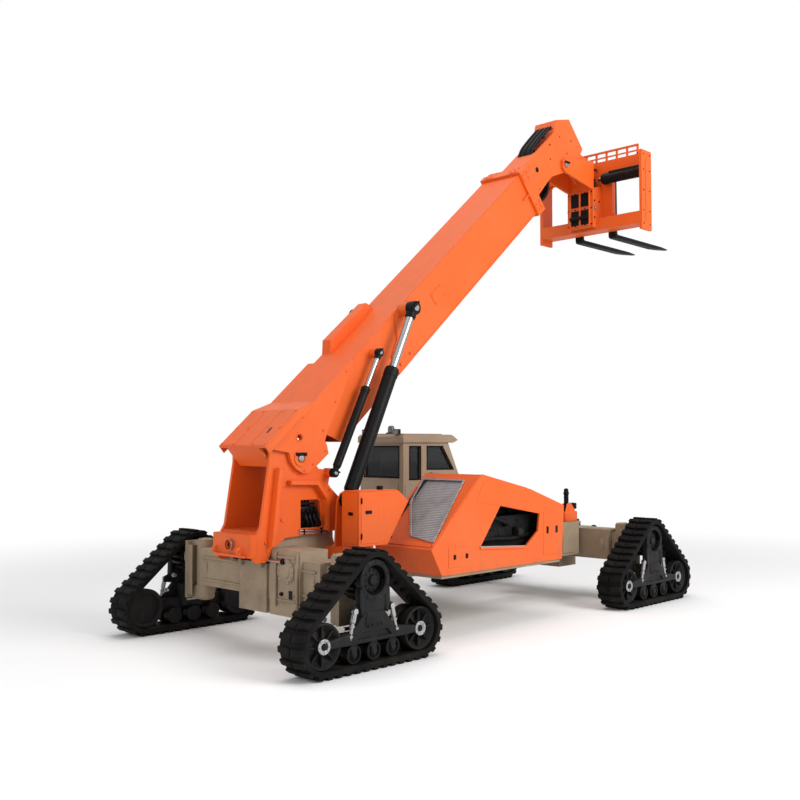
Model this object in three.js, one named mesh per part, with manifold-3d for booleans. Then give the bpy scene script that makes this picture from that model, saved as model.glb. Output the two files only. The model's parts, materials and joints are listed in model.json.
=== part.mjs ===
// A heavy telehandler that runs on four steered, triangular rubber track units.
// Units are millimetres. +X points forward to the forks, +Y to the machine's left, +Z up.
// The origin lies on the ground under the middle of the machine's bounding box.
import * as THREE from "three";
import { mergeVertices } from "three/addons/utils/BufferGeometryUtils.js";
import Module from "manifold-3d";

const wasm = await Module();
wasm.setup();

// ---------------------------------------------------------------- driving dimensions
const seat = 0.3; // gap between faces that touch
const slip = 0.5; // gap between faces that slide on each other
const fixedFit = 0.5; // a pin's radial clearance where it is held still
const runningFit = 1.5; // a pin's radial clearance where a piece turns on it
const degrees = Math.PI / 180;

const wheelbase = 6080; // between the front and rear kingpins
const rearAxleX = -wheelbase / 2;
const frontAxleX = wheelbase / 2;
const gauge = 3450; // between the middles of the left and right belts
const kingpinSpacing = 2660; // between the left and right kingpins

// track unit
const trackHeight = 1320;
const beltWidth = 400;
const idlerSpacing = 1484; // between the two lower idlers of one unit
const cornerRadius = 347; // from an idler's middle to the lugs' tips
const lugHeight = 30;
const carcass = 62; // belt thickness under the lugs
const lugCount = 40;
const lugShare = 0.62; // of the pitch that a lug's foot takes
const lugTaper = 10; // how much narrower a lug's tip is on each side
const rollerRadius = 108;
const rollerSpacing = 300;
const wheelWidth = 300;
const idlerHubRadius = 92;
const idlerHubLength = 36;
const trackFrameThickness = 70;

// axles
const axleArmHeight = 470;
const axleArmDepth = 380; // along the machine
const axleArmMiddle = 875; // height of the arm's middle
const axleCaseWidth = 540;
const axleCaseBottom = 450;
const axleCaseTop = 1110;
const axleCaseDepth = 480;
const kingpinBossRadius = 120;
const kingpinBossTop = 1130;
const kingpinBossBottom = 600;
const knuckleTop = 1190;
const knuckleBottom = 440;
const knuckleWidth = 400;
const knuckleWall = 55;
const knuckleReach = 130; // from the kingpin to the knuckle's wall
const hubHousingRadius = 165;
const dropBoxWidth = 560;
const dropBoxTop = 1225;

// chassis
const frameHalfWidth = 300;
const frameBottom = 640;
const frameTop = 1000;
const frameOverhang = 360; // of the frame, ahead of the front axle
const frontCrossHalfWidth = 700;
const frontCrossTop = 1230;
const towerPlateInner = 330;
const towerPlate = 40;
const pivotX = rearAxleX + 153; // boom pivot pin
const pivotZ = 2304;
const pivotPinRadius = 45;
const thrustRadius = 95; // rings that keep turning plates apart
const towerRib = 85; // how far the tower's outer ribs stand proud
const floorBottom = 1380; // of the tower's floor plate
const floorTop = 1430;
const towerFrontX = rearAxleX + 800;
const rearBeamX = rearAxleX - 560;
const rearBeamDepth = 120;
const rearBeamBottom = 1130;
const rearBeamTop = 1400;
const towBossRadius = 62;
const towBossHeight = 1272;

// boom
const boomAngle = 41; // above level, as parked
const boomHalfWidth = 355;
const boomTop = 369; // above the pivot, square to the boom
const boomBottom = -349;
const boomWall = 16;
const boomRearTop = 300; // where the box starts, ahead of the pivot
const boomRearBottom = 700;
const boomLength = 6439; // from the pivot to the outer section's mouth
const collarWidth = 130;
const collarProud = 42;
const sectionStep = 46; // how much slimmer each next section is, on each side
const midRear = 900;
const midNose = 120; // how far the middle section shows
const innerRear = 1040;
const innerNose = 60;
const nose = boomLength + midNose + innerNose; // where the head starts
const cheekInner = 378;
const cheekOuter = 430;
const coverHalfWidth = 463;
const coverTop = 490;
const coverRear = -342;
const coverShoulder = 350; // the cover is wide and high behind this
const coverWaist = 620; // and down on the boom from here
const coverLow = 392;
const coverFront = 1463;
const coverSheet = 29;
const coverWebRear = 40;
const lockHoleRadius = 40; // for the pin that locks the boom in transit

// head and carriage, in the boom's own directions
const headPlateInner = 170;
const headPlate = 45;
const tiltPinAlong = nose + 1110;
const tiltPinAcross = -229;
const tiltPinRadius = 45;
const tiltBaseAlong = nose + 381; // tilt cylinder's base, on the head
const tiltBaseAcross = 100;
const tiltEyeAlong = tiltPinAlong + 403; // tilt cylinder's eye, on the carriage
const couplerInner = headPlateInner + headPlate + 8; // the carriage's hanger plates
const couplerPlate = 40;
const carriageWidth = 2112;
const carriageShift = -116; // the frame stands to the right of the boom's middle
const carriageSide = 50; // thickness of its side plates
const carriageReach = 913; // from the tilt pin to the frame's back
const carriageRise = 288; // from the tilt pin up to the frame's top
const carriageDrop = 1077; // and down to its bottom
const carriageDepth = 320;
const railDepth = 110;
const topRail = 245; // heights of the two rails
const bottomRail = 205;
const bottomRailLift = 105; // its underside, over the side plates' lower ends
const couplerReach = 813; // from the tilt pin to the coupler's face plate
const shiftRadius = 100; // of the side shift cylinder
const forkLength = 1850;
const forkWidth = 150;
const forkThickness = 60;
const forkSpacing = 695;
const forkMiddle = -37;

// hydraulic cylinders
const liftMiddle = 565; // left and right of the boom's middle
const liftRadius = 100;
const liftRodRadius = 55;
const liftBaseX = rearAxleX + 809;
const liftBaseZ = 1768;
const liftPinAlong = 2737;
const liftPinAcross = 297;
const liftBarrel = 1900;
const liftEye = 95;
const liftEyeHalf = 60;
const liftLug = 30;
const liftRetract = 645; // of the rod, from as parked to the boom's lowest
const slaveMiddle = 495;
const slaveRadius = 60;
const slaveRodRadius = 34;
const slaveBaseX = rearAxleX + 647;
const slaveBaseZ = 2113;
const slavePinAlong = 1876;
const slavePinAcross = 194;
const slaveBarrel = 1240;
const slaveEye = 58;
const slaveEyeHalf = 36;
const slaveRetract = 370;
const tiltRadius = 70;
const tiltRodRadius = 38;
const tiltBarrel = 640;
const tiltEyeRadius = 60;
const tiltEyeHalf = 60;
const tiltRetract = 292;

// hood and engine
const hoodRight = -1420;
const hoodLeft = -411;
const hoodWall = 30;
const deckTop = 810;
const deckThickness = 40;

// cab
const cabRight = 680;
const cabLeft = 1620;
const cabRear = 85;
const cabFront = 1376;
const cabWall = 60;
const cabRoofTop = 2620;
const cabRoofUnder = 2490;
const cabFloorTop = 1080;
const cabFloor = 60;
const windowTop = 2432;
const glassThickness = 8;

// ---------------------------------------------------------------- finishes
function paint(color, roughness, metalness) {
  return new THREE.MeshStandardMaterial({ color, roughness, metalness });
}
const orange = paint(0xee6420, 0.42, 0.1);
const tan = paint(0xb5a288, 0.55, 0.1);
const rubber = paint(0x1d1d1e, 0.9, 0);
const castGrey = paint(0x4a4c4e, 0.6, 0.5);
const steelDark = paint(0x26282a, 0.45, 0.6);
const chrome = paint(0xd2d5d8, 0.15, 1);
const meshGrey = paint(0x8b8f92, 0.6, 0.4);
const glass = paint(0x1b2023, 0.1, 0);
const fabricBlack = paint(0x1a1a1c, 0.85, 0);

// ---------------------------------------------------------------- solids
function solid(geometry) {
  const bare = geometry.index ? geometry.toNonIndexed() : geometry.clone();
  bare.deleteAttribute("normal");
  bare.deleteAttribute("uv");
  const merged = mergeVertices(bare, 1e-3);
  return new wasm.Manifold(
    new wasm.Mesh({
      numProp: 3,
      vertProperties: new Float32Array(merged.attributes.position.array),
      triVerts: new Uint32Array(merged.index.array),
    }),
  );
}

function join(...parts) {
  return parts.reduce((whole, part) => whole.add(part));
}

function cut(body, ...tools) {
  return tools.reduce((left, tool) => left.subtract(tool), body);
}

function outline(points) {
  return new THREE.Shape(points.map(([a, b]) => new THREE.Vector2(a, b)));
}

// A side profile, points [x, z], from yLow to yHigh.
function sideSlab(points, yLow, yHigh) {
  const geometry = new THREE.ExtrudeGeometry(outline(points), {
    depth: yHigh - yLow,
    bevelEnabled: false,
  });
  geometry.rotateX(Math.PI / 2);
  geometry.translate(0, yHigh, 0);
  return solid(geometry);
}

// A front profile, points [y, z], from xLow to xHigh.
function frontSlab(points, xLow, xHigh) {
  const geometry = new THREE.ExtrudeGeometry(outline(points), {
    depth: xHigh - xLow,
    bevelEnabled: false,
  });
  geometry.applyMatrix4(
    new THREE.Matrix4().set(0, 0, 1, xLow, 1, 0, 0, 0, 0, 1, 0, 0, 0, 0, 0, 1),
  );
  return solid(geometry);
}

// A plan, points [x, y], from zLow to zHigh.
function planSlab(points, zLow, zHigh) {
  const geometry = new THREE.ExtrudeGeometry(outline(points), {
    depth: zHigh - zLow,
    bevelEnabled: false,
  });
  geometry.translate(0, 0, zLow);
  return solid(geometry);
}

function block(xLow, xHigh, yLow, yHigh, zLow, zHigh) {
  const geometry = new THREE.BoxGeometry(
    xHigh - xLow,
    yHigh - yLow,
    zHigh - zLow,
  );
  geometry.translate((xLow + xHigh) / 2, (yLow + yHigh) / 2, (zLow + zHigh) / 2);
  return solid(geometry);
}

// A round bar along y, with a corner of its facets straight below its axis.
function barAcross(radius, yLow, yHigh, x, z, facets = 20) {
  const geometry = new THREE.CylinderGeometry(radius, radius, yHigh - yLow, facets);
  geometry.translate(x, (yLow + yHigh) / 2, z);
  return solid(geometry);
}

// A round bar along z.
function barUp(radius, zLow, zHigh, x, y, facets = 20) {
  const geometry = new THREE.CylinderGeometry(radius, radius, zHigh - zLow, facets);
  geometry.rotateX(Math.PI / 2);
  geometry.translate(x, y, (zLow + zHigh) / 2);
  return solid(geometry);
}

// A round bar along x.
function barAlong(radius, xLow, xHigh, y, z, facets = 20) {
  const geometry = new THREE.CylinderGeometry(radius, radius, xHigh - xLow, facets);
  geometry.rotateZ(-Math.PI / 2);
  geometry.translate((xLow + xHigh) / 2, y, z);
  return solid(geometry);
}

// A round bar at y that starts and ends at these distances from one point of the side view,
// towards another.
function barSloping(radius, from, to, y, start, end, facets = 20) {
  const [dx, dz] = [to[0] - from[0], to[1] - from[1]];
  const geometry = new THREE.CylinderGeometry(radius, radius, end - start, facets);
  geometry.rotateZ(-Math.PI / 2);
  geometry.translate((start + end) / 2, 0, 0);
  geometry.rotateY(-Math.atan2(dz, dx));
  geometry.translate(from[0], y, from[1]);
  return solid(geometry);
}

// The machine's side view [x, z] of a point given in the boom's own directions.
const alongX = Math.cos(boomAngle * degrees);
const alongZ = Math.sin(boomAngle * degrees);
function fromBoom(along, across) {
  return [pivotX + along * alongX - across * alongZ,
    pivotZ + along * alongZ + across * alongX];
}
const tiltPin = fromBoom(tiltPinAlong, tiltPinAcross);
const tiltEye = fromBoom(tiltEyeAlong, 0);
const carriageBack = tiltPin[0] + carriageReach;
const carriageFront = carriageBack + carriageDepth;
const carriageTop = tiltPin[1] + carriageRise;
const carriageBottom = tiltPin[1] - carriageDrop;

const machine = new THREE.Group();
const trackMiddle = (gauge - kingpinSpacing) / 2; // outboard of the kingpin
const rearmost = rearAxleX - idlerSpacing / 2 - cornerRadius;
const foremost = carriageFront + seat + forkThickness + forkLength;
machine.position.x = -(rearmost + foremost) / 2;

function add(group, name, body, material) {
  const { numProp, vertProperties, triVerts } = body.getMesh();
  const count = vertProperties.length / numProp;
  const places = new Float32Array(count * 3);
  for (let i = 0; i < count; i++) {
    places.set(vertProperties.subarray(i * numProp, i * numProp + 3), i * 3);
  }
  const geometry = new THREE.BufferGeometry();
  geometry.setAttribute("position", new THREE.BufferAttribute(places, 3));
  geometry.setIndex(new THREE.BufferAttribute(triVerts, 1));
  geometry.computeVertexNormals();
  const mesh = new THREE.Mesh(geometry, material);
  mesh.name = name;
  group.add(mesh);
  return mesh;
}

// ---------------------------------------------------------------- track units
// The belt runs round three corners, counter-clockwise in the side view.
const corners = [
  [-idlerSpacing / 2, cornerRadius],
  [idlerSpacing / 2, cornerRadius],
  [0, trackHeight - cornerRadius],
];
const beltOutside = cornerRadius - lugHeight;
const beltInside = beltOutside - carcass;

function beltLegs() {
  const legs = [];
  corners.forEach((from, i) => {
    const to = corners[(i + 1) % 3];
    const after = corners[(i + 2) % 3];
    const heading = Math.atan2(to[1] - from[1], to[0] - from[0]);
    const next = Math.atan2(after[1] - to[1], after[0] - to[0]);
    const turn = (next - heading + 4 * Math.PI) % (2 * Math.PI);
    const length = Math.hypot(to[0] - from[0], to[1] - from[1]);
    legs.push({ length, place: (t) => [from[0] + (to[0] - from[0]) * t,
      from[1] + (to[1] - from[1]) * t, heading - Math.PI / 2], steps: 1 });
    legs.push({ length: turn * beltOutside,
      place: (t) => [...to, heading - Math.PI / 2 + turn * t],
      steps: Math.ceil(turn / (10 * degrees)) });
  });
  return legs;
}
const legs = beltLegs();
const beltLength = legs.reduce((sum, leg) => sum + leg.length, 0);

function beltPoint(distance, radius) {
  let rest = distance % beltLength;
  const leg = legs.find((one) => {
    if (rest <= one.length) return true;
    rest -= one.length;
    return false;
  }) ?? legs[legs.length - 1];
  const [x, z, normal] = leg.place(Math.min(rest / leg.length, 1));
  return [x + Math.cos(normal) * radius, z + Math.sin(normal) * radius];
}

function belt(yLow, yHigh) {
  const outer = [];
  const pitch = beltLength / lugCount;
  const foot = pitch * lugShare;
  for (let i = 0; i < lugCount; i++) {
    const start = i * pitch + pitch / 4;
    outer.push(beltPoint(start, beltOutside));
    outer.push(beltPoint(start + lugTaper, cornerRadius));
    outer.push(beltPoint(start + foot - lugTaper, cornerRadius));
    outer.push(beltPoint(start + foot, beltOutside));
  }
  const inner = [];
  legs.forEach(({ place, steps }, i) => {
    if (i % 2 === 0) return;
    for (let k = 0; k <= steps; k++) {
      const [x, z, normal] = place(k / steps);
      inner.push([x + Math.cos(normal) * beltInside, z + Math.sin(normal) * beltInside]);
    }
  });
  return cut(sideSlab(outer, yLow, yHigh), sideSlab(inner, yLow - 5, yHigh + 5));
}

// Idlers, rollers, drive sprocket and the frame that carries them. side is 1 on the left.
function undercarriage(side) {
  const span = (from, to) => [from, to].map((v) => side * (trackMiddle + v))
    .sort((a, b) => a - b);
  const half = wheelWidth / 2;
  const running = 2; // the wheels' clearance inside the belt's corners
  const wheelRadius = beltInside - running;
  const hubZ = trackHeight - cornerRadius;
  const wheels = corners.map(([x, z], i) =>
    barAcross(wheelRadius, ...span(-half, i === 2 ? half - 90 : half), x, z, 12));
  const hubs = corners.slice(0, 2).map(([x, z]) =>
    barAcross(idlerHubRadius, ...span(0, half + idlerHubLength), x, z, 10));
  const rollerZ = lugHeight + carcass + seat + rollerRadius;
  const rollers = [-1, 0, 1].map((k) =>
    barAcross(rollerRadius, ...span(-half, half), k * rollerSpacing, rollerZ, 10));
  const frameSpan = span(half - trackFrameThickness, half + 20);
  const casting = sideSlab([[-225, hubZ], [225, hubZ], [150, 600], [330, 440],
    [idlerSpacing / 2, 400], [idlerSpacing / 2, 300], [-idlerSpacing / 2, 300],
    [-idlerSpacing / 2, 400], [-330, 440], [-150, 600]], ...frameSpan);
  const hubRing = barAcross(228, ...frameSpan, 0, hubZ, 12);
  const pocket = barAcross(165, ...span(half - 25, half + 40), 0, hubZ, 10);
  const drive = barAcross(110, ...span(0, half + 5), 0, hubZ, 8);
  const keel = block(-idlerSpacing / 2, idlerSpacing / 2, ...span(-35, 35), 270, 420);
  const carrier = cut(join(casting, hubRing), pocket);
  return join(...wheels, ...hubs, ...rollers, carrier, drive, keel);
}

// The steering knuckle: two jaws over and under the kingpin boss, a wall and the hub.
function knuckle(side) {
  const span = (from, to) => [from, to].map((v) => side * v).sort((a, b) => a - b);
  const wallOut = knuckleReach + knuckleWall;
  const hubZ = trackHeight - cornerRadius;
  const wall = block(-knuckleWidth / 2, knuckleWidth / 2, ...span(knuckleReach, wallOut),
    knuckleBottom, knuckleTop);
  const jaw = (zLow, zHigh) => join(
    barUp(kingpinBossRadius, zLow, zHigh, 0, 0),
    block(-kingpinBossRadius, kingpinBossRadius, ...span(0, wallOut), zLow, zHigh));
  const hubEnd = trackMiddle - wheelWidth / 2 - seat;
  const hub = barAcross(hubHousingRadius, ...span(knuckleReach, hubEnd), 0, hubZ, 24);
  return join(wall, jaw(kingpinBossTop + seat, knuckleTop),
    jaw(knuckleBottom, kingpinBossBottom - seat), hub);
}

const units = [
  { name: "front_left", end: 1, side: 1 },
  { name: "front_right", end: 1, side: -1 },
  { name: "rear_left", end: -1, side: 1 },
  { name: "rear_right", end: -1, side: -1 },
];
units.forEach(({ name, end, side }) => {
  const unit = new THREE.Group();
  unit.position.set((end * wheelbase) / 2, (side * kingpinSpacing) / 2, 0);
  machine.add(unit);
  const edges = [trackMiddle - beltWidth / 2, trackMiddle + beltWidth / 2]
    .map((v) => side * v).sort((a, b) => a - b);
  add(unit, `${name}_belt`, belt(...edges), rubber);
  add(unit, `${name}_undercarriage`, undercarriage(side), castGrey);
  add(unit, `${name}_knuckle`, knuckle(side), tan);
});

// ---------------------------------------------------------------- axles
function axle(dropBox) {
  const armBottom = axleArmMiddle - axleArmHeight / 2;
  const armTop = axleArmMiddle + axleArmHeight / 2;
  const pin = kingpinSpacing / 2;
  const armEnd = pin - kingpinBossRadius - 25;
  const halfDepth = axleArmDepth / 2;
  const parts = [
    block(-axleCaseDepth / 2, axleCaseDepth / 2, -axleCaseWidth / 2, axleCaseWidth / 2,
      axleCaseBottom, axleCaseTop),
    block(-halfDepth, halfDepth, -armEnd, armEnd, armBottom, armTop),
    block(-90, 90, -pin, pin, armBottom + 40, armTop - 40),
    barUp(kingpinBossRadius, kingpinBossBottom, kingpinBossTop, 0, pin),
    barUp(kingpinBossRadius, kingpinBossBottom, kingpinBossTop, 0, -pin),
  ];
  if (dropBox) {
    parts.push(block(-axleCaseDepth / 2, halfDepth, -axleCaseWidth / 2 - 60 - dropBoxWidth,
      -axleCaseWidth / 2 - 60, axleCaseBottom, dropBoxTop));
  }
  return join(...parts);
}
[{ name: "front_axle", end: 1 }, { name: "rear_axle", end: -1 }].forEach(
  ({ name, end }) => {
    const place = new THREE.Group();
    place.position.x = (end * wheelbase) / 2;
    machine.add(place);
    add(place, name, axle(end < 0), tan);
  },
);

// ---------------------------------------------------------------- chassis
const caseTop = axleCaseTop + seat;
const caseReach = axleCaseDepth / 2 + seat;
const crossRear = frontAxleX - 790;
const frameFront = frontAxleX + frameOverhang;
const frameRearEnd = rearAxleX - 220;
const deckRear = -1390;
const deckFront = 1190;

const frameBody = sideSlab([
  [rearAxleX + caseReach, frameBottom], [frontAxleX - caseReach, frameBottom],
  [frontAxleX - caseReach, caseTop], [frameFront, caseTop],
  [frameFront, frontCrossTop - 60], [frontAxleX - caseReach - 100, frontCrossTop],
  [crossRear, frontCrossTop], [crossRear - 150, frameTop], [towerFrontX, frameTop],
  [towerFrontX, floorBottom - seat], [frameRearEnd, floorBottom - seat],
  [frameRearEnd, caseTop], [rearAxleX + caseReach, caseTop],
], -frameHalfWidth, frameHalfWidth);
const crossmember = block(crossRear, frontAxleX - caseReach - 60, -frontCrossHalfWidth,
  frontCrossHalfWidth, frameTop - 300, frontCrossTop);
const engineDeck = block(deckRear, deckFront, hoodRight + 20, 20 - frameHalfWidth,
  deckTop - deckThickness - seat, deckTop - seat);
add(machine, "main_frame", join(frameBody, crossmember, engineDeck), tan);

// The tower's shapes are given from the boom's pivot, along and above it.
const fromPivot = (points) => points.map(([x, z]) => [pivotX + x, pivotZ + z]);
const footBack = rearBeamX + rearBeamDepth - 31 + seat - pivotX; // behind the cross beam
const footTop = rearBeamTop - pivotZ;
const footBottom = rearBeamBottom - seat - pivotZ;
const frontEnd = towerFrontX - pivotX;
const towerOutline = fromPivot([
  [-435, 91], [-439, -56], [-565, -814], [footBack, footTop - 5], [footBack, footBottom],
  [footBack - 50, footBottom], [footBack - 40, -1214], [-618, -1240], [-490, -1240],
  [-445, -1215], [-400, -1120], [-396, -1074], [-318, -1054], [-193, -969],
  [frontEnd + 20, floorBottom - pivotZ], [frontEnd + 60, -704], [frontEnd + 40, -504],
  [542, -379], [327, -119], [142, 26], [87, 116], [0, 146], [-88, 116], [-173, 86],
]);
const towerWindow = fromPivot([[52, floorTop + 10 - pivotZ], [372, floorTop + 10 - pivotZ],
  [372, -560], [327, -519], [52, -519]]);
const towerLip = fromPivot([[-163, -322], [263, -338], [405, -519], [405, -904],
  [455, -904], [455, -504], [287, -290], [-163, -272]]);
const towerRearRib = fromPivot([[-398, -1024], [-288, -134], [-348, -114], [-463, -1044]]);
[1, -1].forEach((side) => {
  const span = (a, b) => [side * a, side * b].sort((p, q) => p - q);
  const outer = towerPlateInner + towerPlate;
  const edges = span(towerPlateInner, outer);
  const ring = barAcross(thrustRadius, ...span(outer - 5, cheekInner - slip), pivotX, pivotZ);
  const slaveLug = join(
    barAcross(slaveEye, ...span(towerPlateInner, slaveMiddle - slaveEyeHalf - slip),
      slaveBaseX, slaveBaseZ),
    sideSlab([[slaveBaseX - 10, slaveBaseZ + 40], [slaveBaseX - 240, slaveBaseZ + 60],
      [slaveBaseX, slaveBaseZ - 200], [slaveBaseX + 40, slaveBaseZ - 10]], ...edges));
  const ribs = [towerLip, towerRearRib].map((points) =>
    sideSlab(points, ...span(outer - 5, outer + towerRib)));
  const sheet = join(sideSlab(towerOutline, ...edges), ring, ...ribs);
  const plate = side < 0 ? sheet.add(slaveLug) : sheet;
  const hole = barAcross(pivotPinRadius + fixedFit, ...span(towerPlateInner - 5,
    cheekInner + 5), pivotX, pivotZ);
  const window = sideSlab(towerWindow, edges[0] - 5, edges[1] + 5);
  add(machine, `tower_plate_${side > 0 ? "left" : "right"}`, cut(plate, hole, window),
    orange);
});

// The cross beam at the machine's tail, with its tow boss, and the tower's floor and wall.
const between = towerPlateInner - seat;
const beamFront = rearBeamX + rearBeamDepth;
const towBore = barAlong(towBossRadius - 27, rearBeamX - 70, rearBeamX + 40, 0,
  towBossHeight, 14);
add(machine, "tower_floor", join(
  cut(join(
    block(rearBeamX, beamFront - 31, -375, 375, rearBeamBottom, rearBeamTop),
    block(rearBeamX + 20, beamFront, -between, between, rearBeamBottom, rearBeamTop),
    barAlong(towBossRadius, rearBeamX - 55, rearBeamX + 5, 0, towBossHeight, 18)), towBore),
  block(rearBeamX - 40, rearBeamX + 5, -300, 300, rearBeamBottom, rearBeamBottom + 30),
  block(beamFront - 5, towerFrontX, -between, between, floorBottom, floorTop),
  block(towerFrontX - 240, towerFrontX - 200, -between, between, floorTop - 5, 1800),
), orange);

// ---------------------------------------------------------------- boom
const boomFrame = new THREE.Group();
boomFrame.position.set(pivotX, 0, pivotZ);
boomFrame.rotation.y = -boomAngle * degrees;
machine.add(boomFrame);

function tube(rearTop, rearBottom, front, halfWidth, top, bottom) {
  const side = [[rearBottom, bottom], [front, bottom], [front, top], [rearTop, top]];
  const outside = sideSlab(side, -halfWidth, halfWidth);
  const inside = block(Math.min(rearTop, rearBottom) - 10, front + 10,
    -halfWidth + boomWall, halfWidth - boomWall, bottom + boomWall, top - boomWall);
  return cut(outside, inside);
}

function collar(from, to, outHalf, outTop, outBottom, inHalf, inTop, inBottom) {
  return cut(
    block(from, to, -outHalf, outHalf, outBottom, outTop),
    block(from - 10, to + 10, -inHalf, inHalf, inBottom, inTop),
  );
}

const mid = {
  half: boomHalfWidth - sectionStep, top: boomTop - sectionStep,
  bottom: boomBottom + sectionStep,
};
const inner = {
  half: mid.half - sectionStep, top: mid.top - sectionStep,
  bottom: mid.bottom + sectionStep,
};
const cheekOutline = [
  [coverRear, 461], [-94, 170], [-140, 60], [-140, -60], [-90, -180], [0, -235],
  [105, -244], [300, -258], [377, -262], [425, -170], [440, -96], [570, -37],
  [1083, 164], [1421, 330], [coverFront, 350], [coverFront, coverLow],
  [coverWaist, coverLow], [coverShoulder, coverTop], [coverRear, coverTop],
];

const fromLiftPin = (points) => points.map(([along, across]) =>
  [liftPinAlong + along, across]);

function outerBoom() {
  const box = tube(boomRearTop, boomRearBottom, boomLength, boomHalfWidth, boomTop,
    boomBottom);
  const mouth = collar(boomLength - collarWidth, boomLength, boomHalfWidth + collarProud,
    boomTop + collarProud, boomBottom - collarProud, mid.half + slip, mid.top + slip,
    mid.bottom - slip);
  const parts = [box, mouth];
  [1, -1].forEach((side) => {
    const span = (a, b) => [side * a, side * b].sort((p, q) => p - q);
    parts.push(sideSlab(cheekOutline, ...span(cheekInner, cheekOuter)));
    parts.push(sideSlab([[760, 60], [1083, 164], [1421, 330], [coverFront, coverLow - 5],
      [760, coverLow - 5]], ...span(boomHalfWidth - 8, cheekOuter - 5)));
    // lift cylinder bracket on the box's side
    parts.push(sideSlab(fromLiftPin([[-637, boomBottom + 10], [-317, boomBottom + 10],
      [223, -20], [283, 210], [163, 330], [-177, 330], [-357, 60], [-607, -60]]),
      ...span(boomHalfWidth - 8, boomHalfWidth + 22)));
    parts.push(barAcross(liftEye, ...span(boomHalfWidth - 8, liftMiddle - liftEyeHalf - slip),
      liftPinAlong, liftPinAcross));
  });
  parts.push(barAcross(slaveEye, slip + slaveEyeHalf - slaveMiddle, 8 - boomHalfWidth,
    slavePinAlong, slavePinAcross));
  // tail cover: a sheet that swings over the tower's corners, its skirts and its end
  const sheetUnder = coverTop - coverSheet;
  parts.push(block(coverRear, coverShoulder, -coverHalfWidth, coverHalfWidth, sheetUnder,
    coverTop));
  parts.push(block(coverWebRear, coverShoulder, -boomHalfWidth, boomHalfWidth, boomTop - 8,
    sheetUnder + 5));
  // its front slopes down and draws in to the boom's own width
  const slope = sideSlab([[coverShoulder - 10, boomTop - 8], [coverWaist, boomTop - 8],
    [coverWaist, coverLow], [coverShoulder, coverTop], [coverShoulder - 10, coverTop]],
    -coverHalfWidth, coverHalfWidth);
  parts.push(slope.intersect(planSlab([[coverShoulder - 15, -coverHalfWidth],
    [coverShoulder, -coverHalfWidth], [coverWaist, -cheekOuter], [coverWaist, cheekOuter],
    [coverShoulder, coverHalfWidth], [coverShoulder - 15, coverHalfWidth]],
    boomTop - 20, coverTop + 10)));
  parts.push(block(coverWaist - 10, coverFront, -cheekOuter, cheekOuter, boomTop - 8,
    coverLow));
  [1, -1].forEach((side) => {
    const skirt = [side * (coverHalfWidth - 16), side * coverHalfWidth]
      .sort((a, b) => a - b);
    parts.push(block(coverRear, coverShoulder, ...skirt, boomTop + 8, coverTop));
  });
  parts.push(block(coverRear, coverRear + 30, -towerPlateInner + 12,
    towerPlateInner - 12, 160, sheetUnder + 5));
  parts.push(sideSlab(fromLiftPin([[-1057, boomTop - 4], [33, boomTop - 4], [-37, 500],
    [-917, 510]]), 190, 350));
  const pinHole = barAcross(pivotPinRadius + runningFit, -cheekOuter - 5, cheekOuter + 5,
    0, 0);
  const lockHole = barAcross(lockHoleRadius, -cheekOuter - 5, cheekOuter + 5, 151, 204, 16);
  return cut(join(...parts), pinHole, lockHole);
}
add(boomFrame, "boom_outer_section", outerBoom(), orange);

function midBoom() {
  const end = boomLength + midNose;
  return join(
    tube(midRear, midRear, end, mid.half, mid.top, mid.bottom),
    collar(end - collarWidth + 20, end, boomHalfWidth + 20, boomTop + 20,
      boomBottom - 60, inner.half + slip, inner.top + slip, inner.bottom - slip),
  );
}
add(boomFrame, "boom_middle_section", midBoom(), orange);

function innerBoom() {
  const fromNose = (points) => points.map(([along, across]) => [nose + along, across]);
  const headOutline = fromNose([[0, inner.bottom + 20], [181, inner.bottom + 20],
    [470, -208], [681, -200], [1101, -350], [1441, -420], [1811, -300], [1781, 290],
    [1431, 465], [1231, 330], [0, 330]]);
  const headRoof = fromNose([[20, 290], [560, 290], [560, 330], [20, 330]]);
  const headCap = fromNose([[1330, 350], [1440, 424], [1625, 326], [1641, 360],
    [1431, 465], [1310, 383]]);
  const parts = [tube(innerRear, innerRear, nose, inner.half, inner.top, inner.bottom)];
  parts.push(block(nose - 12, nose + 30, -inner.half, inner.half, inner.bottom,
    inner.top));
  [1, -1].forEach((side) => {
    const span = [side * headPlateInner, side * (headPlateInner + headPlate)]
      .sort((a, b) => a - b);
    parts.push(sideSlab(headOutline, ...span));
    const ring = [side * (headPlateInner + headPlate - 5), side * (couplerInner - slip)]
      .sort((a, b) => a - b);
    parts.push(barAcross(thrustRadius, ...ring, tiltPinAlong, tiltPinAcross));
  });
  const reach = headPlateInner + 10;
  parts.push(sideSlab(headRoof, -reach, reach), sideSlab(headCap, -reach, reach));
  const pinHole = barAcross(tiltPinRadius + fixedFit, -400, 400, tiltPinAlong,
    tiltPinAcross);
  return cut(join(...parts), pinHole);
}
add(boomFrame, "boom_inner_section", innerBoom(), orange);

// pins that hold the boom to the tower, and the carriage to the head
const washer = 30;
add(machine, "boom_pivot_pin", barAcross(pivotPinRadius, -cheekOuter - washer,
  cheekOuter + washer, pivotX, pivotZ), chrome);

// ---------------------------------------------------------------- carriage and forks
const carriageRight = carriageShift - carriageWidth / 2;
const carriageLeft = carriageShift + carriageWidth / 2;
const railBack = carriageFront - railDepth;
const topRailUnder = carriageTop - topRail;
const bottomRailUnder = carriageBottom + bottomRailLift;
const bottomRailTop = bottomRailUnder + bottomRail;

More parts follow.
